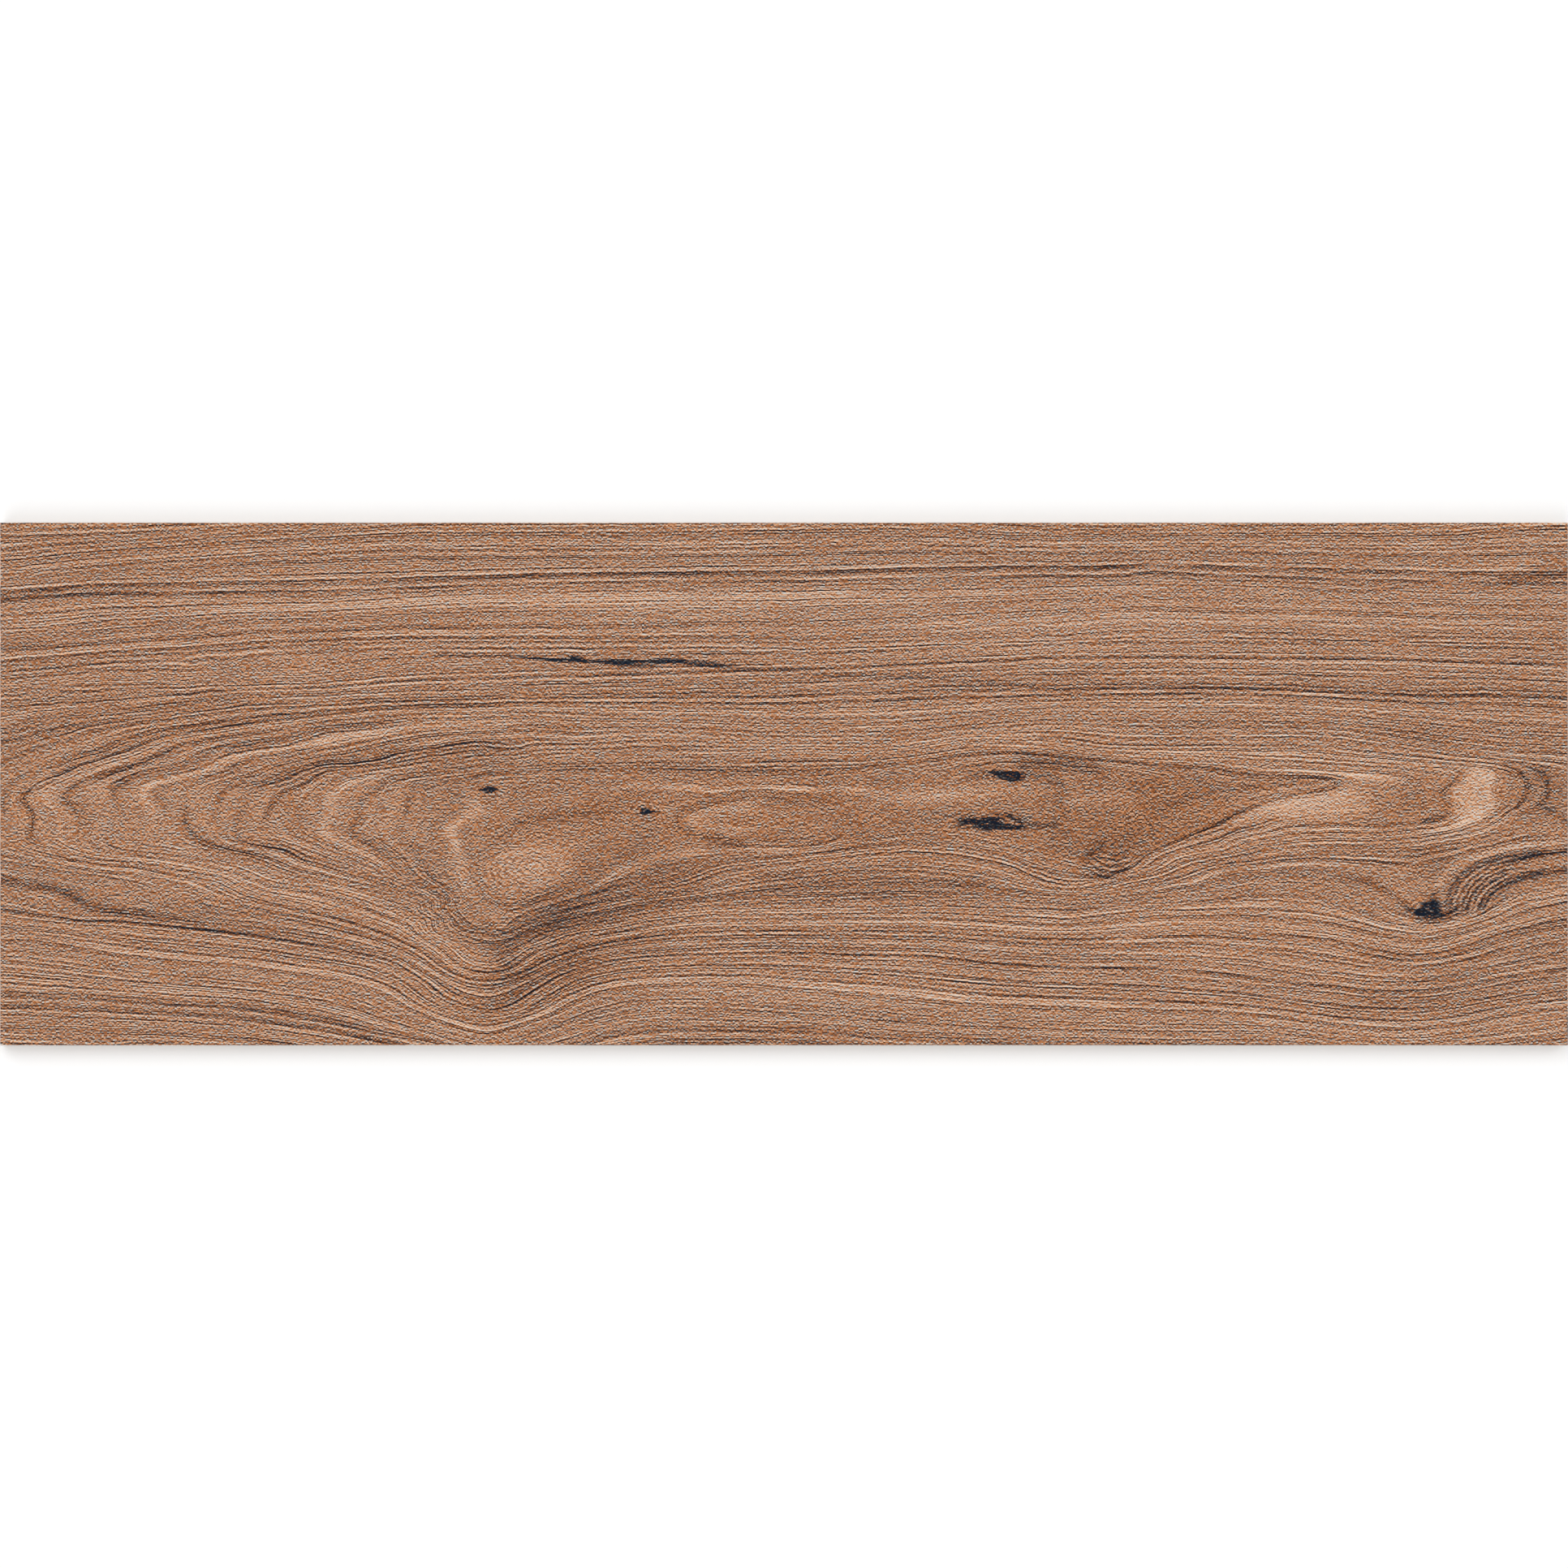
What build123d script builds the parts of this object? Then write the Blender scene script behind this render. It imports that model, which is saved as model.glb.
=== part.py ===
"""Glazed stoneware plank tile: one pressed and fired piece, lying flat with its glazed face up."""

import os

from build123d import *

# Driving dimensions, in millimetres and degrees
LENGTH = 600.0  # work size along the wood figure
WIDTH = 200.0  # work size across the wood figure
THICKNESS = 8.5  # from the back ribs to the glazed face
FACE_ARRIS = 0.4  # fine bevel ground round the glazed face
BACK_ARRIS = 0.8  # bevel that the die leaves round the back
KEY_SIZE = 20.0  # mouth of one square key, the shallow recess that the adhesive fills
KEY_CORNER = 2.5  # how far a key's mouth is cut back at each corner
KEY_DEPTH = 0.5
KEY_DRAFT = 30.0  # slope of a key's walls, so that the pressed tile leaves its die
RIB_WIDTH = 5.0  # flat rib between two keys
BACK_MARGIN = 12.0  # least width of the plain band between the edge and the outer keys

# Worked out from the driving dimensions
KEY_PITCH = KEY_SIZE + RIB_WIDTH


def keys_that_fit(side: float) -> int:
    """How many keys go along one side of the tile, with the plain band left at both ends."""
    return int((side - 2 * BACK_MARGIN + RIB_WIDTH) // KEY_PITCH)


def pressed_blank() -> Part:
    """The plain body: a flat slab on the floor plane, bevelled round its face and its back."""
    blank = Box(LENGTH, WIDTH, THICKNESS, align=(Align.CENTER, Align.CENTER, Align.MIN))
    glazed_face = blank.faces().sort_by(Axis.Z)[-1]
    blank = chamfer(glazed_face.edges(), FACE_ARRIS)
    back = blank.faces().sort_by(Axis.Z)[0]
    return chamfer(back.edges(), BACK_ARRIS)


def back_keys() -> list[Part]:
    """The stamp that sinks the keys: a grid of shallow eight-sided blocks, widest at the mouth."""
    mouth = Rectangle(KEY_SIZE, KEY_SIZE)
    mouth = chamfer(mouth.vertices(), KEY_CORNER)
    key = extrude(mouth, amount=KEY_DEPTH, taper=KEY_DRAFT)
    grid = GridLocations(KEY_PITCH, KEY_PITCH, keys_that_fit(LENGTH), keys_that_fit(WIDTH))
    return [place * key for place in grid]


def glazed_tile() -> Part:
    """The finished tile, with its back keyed for the adhesive."""
    return pressed_blank() - back_keys()


tile = glazed_tile()
os.makedirs("parts", exist_ok=True)
export_step(tile, "parts/tile.step")
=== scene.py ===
"""Glazed stoneware plank tile: a pressed body with a keyed back and a satin glaze printed as knotty wood."""

import logging
import math
from dataclasses import dataclass
from enum import Enum
from typing import Any, Optional

import bmesh
import bpy
import numpy as np
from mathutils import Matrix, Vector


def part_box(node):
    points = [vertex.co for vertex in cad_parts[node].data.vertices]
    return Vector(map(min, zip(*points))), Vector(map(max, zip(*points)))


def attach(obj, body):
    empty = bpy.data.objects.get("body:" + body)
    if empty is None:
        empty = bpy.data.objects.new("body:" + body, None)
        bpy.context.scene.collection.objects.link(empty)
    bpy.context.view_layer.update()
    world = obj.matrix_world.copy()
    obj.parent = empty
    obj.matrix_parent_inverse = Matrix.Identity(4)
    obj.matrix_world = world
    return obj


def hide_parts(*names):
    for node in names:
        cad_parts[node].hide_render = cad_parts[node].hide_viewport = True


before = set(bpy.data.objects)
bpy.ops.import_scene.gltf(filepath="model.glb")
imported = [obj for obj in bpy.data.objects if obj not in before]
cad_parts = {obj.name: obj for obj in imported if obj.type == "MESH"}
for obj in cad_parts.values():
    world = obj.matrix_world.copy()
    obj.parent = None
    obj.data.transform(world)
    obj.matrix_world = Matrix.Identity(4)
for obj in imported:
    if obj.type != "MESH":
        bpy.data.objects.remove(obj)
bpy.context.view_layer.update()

log = logging.getLogger("tile")

Point = tuple[float, float]  # a place
Pair = tuple[float, float]  # two values that belong together

PHOTO_SIDE = 1932  # pixels along each side of the photograph, whose width the tile fills
MM = 0.001


class Layer(Enum):
    """What the face's mesh tells the print's nodes at each of its points."""

    RING = "ring"  # number of the growth ring
    SPREAD = "spread"  # millimetres from one ring to the next
    LINE = "line"  # how much lighter or darker the traced rings make it
    SHADE = "shade"  # how much lighter or darker the streaks and clouds make it
    WARMTH = "warmth"  # how far the ink turns to rust, or to slate below zero


class Skin(Enum):
    """The three surfaces of the tile, by the number of their material slot."""

    FACE = 0
    EDGE = 1
    BACK = 2


@dataclass(frozen=True)
class GrainLine:
    """A growth ring of the printed figure, in pixels of the photograph, with the shade drawn along it."""

    name: str
    ring: float  # its number, counted outwards from the heart of the figure
    shade: float  # how much paler it is drawn, or darker below zero
    half_width: float
    points: tuple[Point, ...]


@dataclass(frozen=True)
class Stroke:
    """A bold streak of the figure, in pixels of the photograph."""

    name: str
    shade: float  # how much paler it is, or darker below zero
    warmth: float  # how much rustier it is, or more like slate below zero
    half_width: float
    points: tuple[Point, ...]


@dataclass(frozen=True)
class Patch:
    """A soft-edged cloud of lighter, darker, rusty or slaty ink, in pixels of the photograph."""

    name: str
    middle: Point
    radii: Pair
    tilt: float  # degrees, anticlockwise
    shade: float
    warmth: float


@dataclass(frozen=True)
class Knot:
    """A black knot or a stretch of the crack, with a ragged rim, in pixels of the photograph."""

    name: str
    middle: Point
    radii: Pair
    tilt: float  # degrees, anticlockwise
    blackness: float


@dataclass(frozen=True)
class Swirl:
    """Fine curved lines about a knot, in pixels of the photograph."""

    name: str
    middle: Point  # what the lines bend round
    squash: float  # how flat their ovals are
    pitch: float
    seen_middle: Point  # where they show
    seen_radii: Pair
    seen_tilt: float  # degrees, anticlockwise
    depth: float


# Name, ring number, shade, half width and corners
GRAIN_LINES = (
    GrainLine("top_left_edge", 44.5, -0.05, 3, ((0, 662), (200, 654), (300, 648), (420, 644))),
    GrainLine("top_dark", 41.4, -0.1, 3, ((0, 695), (100, 684), (300, 670), (500, 660), (800, 660),
        (1100, 655), (1300, 661), (1600, 660), (1700, 661), (1800, 659), (1850, 655), (1932, 652))),
    GrainLine("slate_line", 34.6, -0.10, 4, ((0, 738), (100, 731), (400, 728), (600, 720))),
    GrainLine("slate_line_right", 34.6, -0.05, 4, ((800, 716), (1000, 715), (1290, 708), (1376, 708),
        (1424, 704), (1500, 708), (1800, 717), (1932, 717))),
    GrainLine("upper_pale", 32, 0.1, 4, ((0, 772), (50, 770), (150, 761), (300, 753), (400, 751),
        (550, 742), (750, 738), (950, 738), (1050, 735), (1150, 735), (1400, 728), (1500, 729), (1800, 738),
        (1932, 738))),
    GrainLine("upper_brown", 30, -0.08, 4, ((0, 787), (300, 766), (400, 764), (500, 759), (650, 756),
        (750, 756), (850, 752), (950, 751), (1150, 745), (1400, 736), (1600, 740), (1800, 746), (1932, 747))),
    GrainLine("under_crack", 25.3, 0.03, 4, ((0, 824), (150, 811), (250, 807), (350, 799), (500, 794),
        (800, 794), (900, 794), (1000, 796), (1200, 790), (1400, 782), (1500, 782), (1700, 787),
        (1932, 791))),
    GrainLine("outer_arm_d", 21.6, -0.03, 3, ((0, 872), (300, 851), (400, 848), (500, 840), (750, 833),
        (1000, 825), (1290, 812), (1400, 811), (1700, 813), (1932, 821))),
    GrainLine("outer_arm_c", 20.2, -0.1, 3, ((0, 897), (75, 881), (150, 875), (300, 857))),
    GrainLine("outer_arm_b", 19, -0.07, 4, ((0, 915), (100, 891), (300, 864), (500, 855), (800, 849),
        (1000, 846))),
    GrainLine("outer_arm_a", 17.8, -0.05, 4, ((0, 942), (38, 925), (125, 898), (175, 890), (300, 875),
        (500, 864), (650, 860), (950, 858), (1150, 851), (1450, 847), (1550, 848), (1750, 857), (1850, 856),
        (1932, 860))),
    GrainLine("arch_1", 16.8, -0.12, 4, ((4, 1000), (6, 981), (10, 970), (23, 958), (100, 930), (125, 924),
        (150, 913), (175, 905), (200, 899), (300, 884), (400, 875))),
    GrainLine("arch_2", 15.9, -0.11, 4, ((62, 1044), (47, 1040), (37, 1030), (43, 1009), (39, 998),
        (28, 986), (30, 979), (75, 953), (200, 908), (300, 892), (450, 876), (500, 873), (650, 869))),
    GrainLine("arch_3", 14.3, -0.16, 5, ((98, 1024), (97, 1005), (91, 995), (82, 987), (80, 982), (84, 976),
        (100, 964), (175, 939), (225, 917), (250, 911), (330, 898))),
    GrainLine("arch_4", 12.8, -0.16, 5, ((148, 1015), (148, 1000), (141, 980), (140, 972), (164, 958),
        (187, 950), (225, 944), (275, 923), (350, 910), (400, 897), (500, 888))),
    GrainLine("arch_5_pale", 11.7, 0.09, 6, ((191, 1010), (189, 998), (181, 988), (177, 979), (181, 971),
        (200, 964), (225, 959), (250, 951), (275, 941), (285, 935), (375, 918), (425, 906), (525, 894),
        (650, 891))),
    GrainLine("arch_5", 11.3, -0.16, 4, ((206, 1016), (206, 1000), (203, 988), (192, 980), (190, 974),
        (200, 969), (250, 959), (275, 951), (300, 938), (313, 934), (350, 929), (400, 918))),
    GrainLine("arch_6", 10.6, -0.15, 5, ((338, 1064), (300, 1051), (268, 1044), (245, 1033), (236, 1026),
        (229, 1015), (227, 1005), (229, 990), (236, 978))),
    GrainLine("arch_7", 9.6, -0.16, 4, ((268, 1022), (263, 1010), (266, 995), (276, 971), (300, 964),
        (325, 961), (350, 949), (375, 942), (475, 926), (500, 918), (525, 915))),
    GrainLine("arch_8", 8.75, -0.12, 4, ((415, 1070), (375, 1058), (350, 1046), (320, 1041), (295, 1033),
        (292, 1025), (294, 1010), (306, 985), (308, 976), (325, 968), (350, 962), (375, 950), (400, 943),
        (425, 942), (550, 920), (600, 915), (650, 913))),
    GrainLine("arch_9", 7.9, -0.13, 4, ((318, 1028), (330, 1000), (342, 983), (353, 974), (375, 965),
        (400, 952), (475, 943), (550, 929), (650, 921))),
    GrainLine("arch_10_pale", 5.9, 0.09, 5, ((480, 1068), (395, 1023), (396, 1014), (405, 1003), (403, 990),
        (410, 980), (436, 964), (450, 960), (500, 951), (700, 931), (1000, 925), (1050, 927), (1100, 926),
        (1200, 912), (1290, 915), (1350, 923), (1400, 926), (1600, 930), (1800, 946), (1825, 951),
        (1838, 958), (1832, 970), (1836, 985), (1837, 997), (1825, 1005), (1800, 1015), (1770, 1022),
        (1740, 1025))),
    GrainLine("arch_11", 4.7, -0.16, 4, ((495, 1068), (460, 1040), (436, 1027), (432, 1022), (440, 1014),
        (445, 1005), (439, 994), (445, 987), (461, 976), (472, 963), (481, 959), (500, 955), (600, 943),
        (650, 941))),
    GrainLine("heart_upper", 3.25, -0.15, 3, ((486, 1020), (500, 1003), (505, 990), (507, 975), (513, 969),
        (521, 966), (550, 962), (600, 952), (700, 947), (800, 946), (900, 949), (1000, 949), (1050, 946),
        (1200, 927), (1250, 925), (1500, 946), (1525, 952), (1550, 955), (1600, 956), (1640, 959),
        (1654, 966), (1645, 971), (1625, 976), (1600, 979), (1575, 985), (1550, 992), (1525, 1002),
        (1500, 1016), (1425, 1048), (1410, 1057), (1391, 1072), (1365, 1082), (1330, 1080))),
    GrainLine("heart_left", 3.25, -0.16, 4, ((486, 1020), (512, 1049), (529, 1081), (549, 1096),
        (555, 1117), (563, 1128), (574, 1138), (586, 1144), (600, 1147), (614, 1147), (625, 1144))),
    GrainLine("chevron_pale", 1.7, 0.08, 6, ((560, 977), (575, 985), (592, 997), (557, 1022), (565, 1045),
        (568, 1079), (574, 1092), (588, 1115), (596, 1123), (608, 1128), (625, 1126), (640, 1122),
        (700, 1103), (730, 1092), (765, 1070), (818, 1052), (900, 1047), (1000, 1045))),
    GrainLine("eye_outer", 0.7, -0.03, 6, ((760, 1000), (667, 1006), (650, 1011), (637, 1018), (625, 1030),
        (603, 1045), (588, 1068), (586, 1079), (588, 1090), (600, 1109), (625, 1113), (646, 1112),
        (700, 1092), (718, 1075), (737, 1047), (759, 1030))),
    GrainLine("eye_pale", 0.1, 0.02, 8, ((603, 1085), (604, 1070), (615, 1058), (640, 1050), (672, 1049),
        (690, 1056), (693, 1066), (682, 1080), (660, 1090), (640, 1093))),
    GrainLine("eye_middle", -0.5, 0, 4, ((648, 1069),)),
    GrainLine("heart_pale", 1.8, 0.1, 4, ((740, 976), (780, 968), (850, 971), (875, 974), (925, 970),
        (1110, 975))),
    GrainLine("tongue_dark", 1, -0.04, 5, ((929, 980), (907, 982), (865, 991), (841, 1000), (836, 1009),
        (839, 1017), (846, 1025), (912, 1036))),
    GrainLine("tongue_pale", 0.3, 0.05, 8, ((950, 994), (900, 994), (870, 1000), (856, 1008), (870, 1017),
        (910, 1025), (950, 1026))),
    GrainLine("right_heart", 2.2, -0.07, 5, ((1420, 997), (1450, 990), (1475, 978), (1500, 972),
        (1600, 963), (1635, 962))),
    GrainLine("heart_lower", 5.2, 0.09, 3, ((840, 1097), (860, 1093), (900, 1080), (1000, 1066),
        (1050, 1061), (1110, 1058), (1150, 1060), (1225, 1071), (1275, 1088), (1300, 1094), (1325, 1095),
        (1350, 1091), (1375, 1084), (1450, 1056), (1500, 1046), (1525, 1036), (1550, 1030), (1600, 1021),
        (1700, 1020), (1750, 1017), (1775, 1013), (1788, 1004), (1785, 992), (1777, 976), (1785, 964),
        (1799, 955))),
    GrainLine("tip_pale", 4, 0.16, 4, ((1550, 946), (1700, 955), (1727, 961))),
    GrainLine("right_arch_1", 7, -0.14, 4, ((1854, 944), (1879, 956), (1883, 965), (1883, 975), (1878, 986),
        (1870, 994), (1856, 1000))),
    GrainLine("right_arch_2", 7.9, -0.13, 4, ((1894, 948), (1903, 955), (1907, 965), (1908, 976),
        (1904, 988), (1892, 996), (1875, 1001))),
    GrainLine("upper_heart_pale", 8.8, 0.08, 3, ((640, 919), (700, 914), (800, 909), (950, 914),
        (1100, 913), (1200, 903), (1290, 899), (1400, 905), (1600, 905), (1650, 907), (1800, 928),
        (1932, 943))),
    GrainLine("slate_rise", 9.4, -0.08, 4, ((425, 1080), (480, 1094), (518, 1106), (530, 1113), (544, 1131),
        (576, 1157), (600, 1165), (616, 1165), (637, 1157), (648, 1150), (663, 1144), (700, 1134),
        (800, 1116), (850, 1109), (950, 1099), (1100, 1091), (1200, 1095), (1300, 1104))),
    GrainLine("slate_rise_right", 9.4, 0.06, 4, ((1300, 1104), (1350, 1104), (1400, 1098), (1440, 1091),
        (1475, 1083), (1500, 1073), (1600, 1063), (1650, 1064), (1700, 1070), (1725, 1078), (1745, 1090))),
    GrainLine("knot_right_pale", 9.4, 0.04, 4, ((1775, 1101), (1773, 1090), (1777, 1081), (1795, 1064),
        (1825, 1052), (1856, 1044), (1932, 1037))),
    GrainLine("knot_rim", 10.5, -0.12, 4, ((1600, 1076), (1650, 1078), (1690, 1088), (1715, 1102),
        (1750, 1128), (1765, 1132), (1785, 1126), (1800, 1115), (1805, 1100), (1815, 1087), (1837, 1072),
        (1865, 1061), (1900, 1053), (1932, 1050))),
    GrainLine("knot_outer", 11.5, -0.14, 4, ((1826, 1116), (1832, 1107), (1850, 1090), (1882, 1078),
        (1932, 1072))),
    GrainLine("lower_pale", 12.8, 0.1, 4, ((136, 1037), (150, 1044), (200, 1050), (275, 1062), (300, 1069),
        (325, 1080), (350, 1087), (400, 1094), (425, 1100), (475, 1116), (500, 1128), (525, 1149),
        (575, 1184), (600, 1191), (612, 1190), (625, 1184), (650, 1168), (675, 1161), (750, 1143),
        (800, 1133), (850, 1127), (900, 1125), (1150, 1122), (1324, 1129), (1400, 1120), (1550, 1115),
        (1600, 1118), (1650, 1126), (1725, 1145), (1750, 1148), (1775, 1145), (1850, 1121), (1932, 1098))),
    GrainLine("arch_2_foot", 15.9, -0.05, 4, ((62, 1044), (149, 1062), (175, 1064), (275, 1082))),
    GrainLine("knot_dip", 16, -0.1, 4, ((1500, 1148), (1600, 1154), (1650, 1161), (1725, 1176),
        (1750, 1177), (1775, 1174), (1800, 1168), (1850, 1151), (1932, 1133))),
    GrainLine("lower_dark", 21.5, -0.10, 4, ((0, 1118), (50, 1127), (100, 1133), (150, 1134), (300, 1149),
        (400, 1165), (450, 1175), (480, 1182))),
    GrainLine("lower_foot", 21.5, -0.04, 4, ((500, 1192), (530, 1211), (544, 1223), (560, 1232),
        (582, 1239), (607, 1243), (633, 1234), (684, 1203), (700, 1197), (750, 1183), (800, 1177),
        (850, 1175), (950, 1172), (1150, 1177), (1200, 1183), (1300, 1190), (1400, 1191), (1500, 1197),
        (1600, 1210), (1700, 1219), (1750, 1219), (1800, 1213), (1850, 1203), (1932, 1191))),
    GrainLine("left_black", 20, -0.16, 4, ((0, 1084), (50, 1093), (71, 1095), (83, 1099), (112, 1117),
        (125, 1120), (250, 1134))),
    GrainLine("bottom_pale", 27.5, 0.11, 4, ((0, 1156), (50, 1158), (150, 1174), (200, 1180), (300, 1188),
        (400, 1202), (450, 1213), (475, 1222), (500, 1237), (550, 1258), (575, 1266), (600, 1270),
        (625, 1265), (642, 1259), (700, 1235), (750, 1217), (800, 1212), (850, 1210), (900, 1210),
        (1100, 1225), (1200, 1235), (1500, 1245), (1550, 1248), (1650, 1260), (1700, 1264), (1750, 1264),
        (1800, 1259), (1850, 1249), (1932, 1239))),
    GrainLine("bottom_dark", 34, -0.09, 4, ((0, 1222), (100, 1226), (300, 1239), (400, 1255), (540, 1287),
        (610, 1310), (700, 1288), (750, 1273), (800, 1266), (850, 1265), (1000, 1268), (1100, 1277),
        (1300, 1284), (1500, 1288))),
    GrainLine("left_bottom", 39, 0, 4, ((0, 1275), (200, 1282), (300, 1288))),
    GrainLine("right_bottom", 32, -0.04, 4, ((1550, 1273), (1650, 1282), (1740, 1288), (1932, 1264))),
)

# Name, shade, warmth, half width and corners
STROKES = (
    Stroke("slate_line_left_end", -0.10, -0.10, 3, ((0, 738), (100, 731), (230, 730))),
    Stroke("upper_right_black", -0.13, 0, 6, ((1850, 714), (1895, 712), (1932, 713))),
    Stroke("top_pale", 0.05, 0.05, 4, ((0, 706), (100, 694), (250, 679), (600, 667), (1000, 670), (1500, 672),
        (1750, 674), (1850, 668), (1932, 664))),
    Stroke("upper_pale_bright", 0.04, 0, 4, ((200, 757), (400, 750), (600, 741), (850, 737))),
    Stroke("left_end_dark_patch", -0.07, -0.10, 4, ((0, 798), (50, 795))),
    Stroke("outer_arm_b_bold", -0.05, -0.12, 3, ((0, 915), (75, 897), (150, 884), (275, 867), (325, 864))),
    Stroke("outer_arm_a_bold", -0.05, -0.10, 3, ((0, 942), (38, 925), (75, 915), (125, 898), (200, 887))),
    Stroke("outer_arm_pale", 0.06, 0, 4, ((0, 890), (40, 879))),
    Stroke("right_upper_dark", -0.08, 0, 3, ((1260, 850), (1450, 848), (1600, 851), (1750, 857),
        (1932, 859))),
    Stroke("arch_2_bold", -0.03, -0.10, 3, ((40, 974), (75, 953), (125, 935), (200, 908), (275, 896))),
    Stroke("arch_3_band", -0.05, 0.08, 8, ((100, 992), (106, 1005), (104, 1024))),
    Stroke("whorl", -0.04, 0.10, 12, ((358, 992), (375, 1000), (368, 1014))),
    Stroke("wedge_pale", 0.06, 0, 9, ((408, 982), (409, 1000))),
    Stroke("lower_arm_pale", 0.04, 0, 6, ((400, 1028), (425, 1039), (450, 1049), (474, 1069))),
    Stroke("arch_11_foot", -0.05, 0, 4, ((450, 1038), (479, 1056), (505, 1079), (544, 1107))),
    Stroke("tip_line_pale", 0.07, 0, 3, ((1100, 940), (1150, 931), (1200, 923), (1250, 922), (1315, 928),
        (1400, 935), (1500, 940), (1550, 946), (1650, 952), (1728, 961))),
    Stroke("blob_pale", 0.17, -0.06, 13, ((1816, 959), (1802, 976), (1813, 992), (1805, 1004))),
    Stroke("blob_pale_right", 0.10, -0.05, 8, ((1832, 956), (1824, 972), (1830, 988), (1820, 1002))),
    Stroke("blob_left_rim", -0.22, 0, 4, ((1800, 955), (1777, 976), (1785, 992), (1786, 1005), (1756, 1013))),
    Stroke("right_edge_dark", -0.12, -0.10, 4, ((1901, 994), (1932, 1011))),
    Stroke("right_lower_dark", -0.09, 0, 4, ((1620, 1047), (1690, 1043), (1748, 1045))),
    Stroke("knot_swirl_a", -0.20, -0.35, 5, ((1785, 1116), (1787, 1099), (1799, 1082), (1818, 1067),
        (1850, 1056), (1901, 1051))),
    Stroke("knot_swirl_b", -0.16, -0.30, 5, ((1807, 1124), (1809, 1111), (1824, 1094), (1854, 1076))),
    Stroke("knot_swirl_c", -0.14, -0.25, 5, ((1824, 1118), (1833, 1107), (1860, 1088), (1897, 1077))),
    Stroke("knot_swirl_pale", 0.07, 0, 4, ((1773, 1097), (1775, 1084), (1792, 1065), (1833, 1052),
        (1886, 1041))),
    Stroke("knot_rim", -0.15, -0.15, 4, ((1733, 1121), (1748, 1129), (1765, 1132), (1782, 1130),
        (1796, 1122))),
    Stroke("knot_spike", -0.22, -0.20, 4, ((1766, 1110), (1770, 1099))),
    Stroke("chevron_bright", 0.07, 0, 8, ((568, 977), (589, 997), (557, 1017), (552, 1025), (565, 1041),
        (567, 1070), (578, 1094), (588, 1121))),
    Stroke("brown_swoosh", -0.05, 0.10, 8, ((612, 1035), (629, 1018), (650, 1011), (693, 1006), (750, 998),
        (772, 985), (799, 978))),
    Stroke("rising_pale", 0.02, 0, 3, ((627, 1125), (665, 1117), (725, 1096), (774, 1069), (823, 1052))),
    Stroke("arrow_upper", -0.07, 0, 5, ((872, 1030), (915, 1037))),
    Stroke("arrow_lower", -0.08, -0.10, 5, ((872, 1047), (915, 1038))),
    Stroke("lens_dark", -0.04, 0, 6, ((950, 984), (1010, 983), (1070, 986))),
    Stroke("tongue_bright", 0.07, -0.05, 8, ((850, 1006), (880, 1000), (937, 988))),
    Stroke("tongue_lower", 0.06, 0, 6, ((855, 1017), (880, 1024), (916, 1034))),
    Stroke("knot_upper_left", -0.10, -0.20, 5, ((1195, 956), (1222, 956))),
    Stroke("knot_upper_right", -0.12, -0.25, 5, ((1256, 954), (1288, 957), (1306, 966))),
    Stroke("slate_wedge", -0.12, -0.12, 10, ((1262, 938), (1310, 936), (1350, 945))),
    Stroke("knot_lower_left", -0.22, -0.40, 7, ((1184, 1011), (1200, 1012))),
    Stroke("knot_lower_cap", -0.12, -0.20, 5, ((1225, 1006), (1262, 1009))),
    Stroke("knot_lower_tail", -0.17, -0.30, 4, ((1256, 1018), (1300, 1016))),
    Stroke("heart_spot_pale", 0.07, 0.05, 8, ((1322, 986), (1345, 986), (1391, 983))),
    Stroke("heart_spot_rim", -0.06, 0, 5, ((1308, 977), (1304, 986), (1310, 1006))),
    Stroke("burl_outer", -0.12, -0.18, 4, ((1334, 1060), (1348, 1076), (1369, 1080), (1388, 1068))),
    Stroke("burl_inner", -0.10, -0.10, 4, ((1349, 1052), (1358, 1066), (1370, 1066), (1379, 1054))),
    Stroke("burl_streak", -0.13, -0.20, 5, ((1340, 1056), (1358, 1042))),
    Stroke("burl_foot_pale", 0.07, 0, 4, ((1400, 1068), (1425, 1050), (1470, 1035), (1530, 1008))),
    Stroke("chevron_pale_area", 0.18, -0.08, 12, ((1515, 1012), (1560, 995), (1610, 988), (1660, 982),
        (1690, 972))),
    Stroke("chevron_pale_low", 0.09, -0.05, 8, ((1580, 1004), (1640, 1002), (1680, 994))),
    Stroke("chevron_pale_tip", 0.05, -0.03, 5, ((1655, 959), (1700, 958), (1728, 962))),
    Stroke("chevron_foot_dark", -0.08, 0, 5, ((1570, 1016), (1640, 1015), (1740, 1017), (1786, 1010))),
    Stroke("crack_faint", -0.10, -0.20, 3, ((540, 806), (640, 809), (660, 812))),
    Stroke("crack_tail", -0.11, -0.15, 3, ((900, 819), (1000, 828), (1100, 834), (1200, 838), (1300, 848))),
    Stroke("left_black_line", -0.12, -0.05, 4, ((0, 1085), (50, 1092), (75, 1097), (100, 1112), (150, 1125))),
    Stroke("lower_left_slate", -0.06, -0.12, 5, ((150, 1133), (250, 1143), (350, 1156), (433, 1174),
        (501, 1191))),
    Stroke("valley_line", -0.07, -0.08, 4, ((548, 1138), (586, 1160), (612, 1166), (650, 1148), (714, 1128))),
    Stroke("valley_pale", 0.03, 0.05, 4, ((480, 1210), (535, 1242), (600, 1259), (650, 1240), (714, 1210))),
    Stroke("bottom_left_dark", -0.05, 0, 5, ((300, 1243), (350, 1250), (450, 1267))),
    Stroke("right_dip_dark", -0.06, 0, 4, ((1674, 1228), (1724, 1240), (1782, 1233))),
    Stroke("top_rust", 0.03, 0.18, 6, ((0, 647), (966, 647), (1932, 647))),
)

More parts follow.
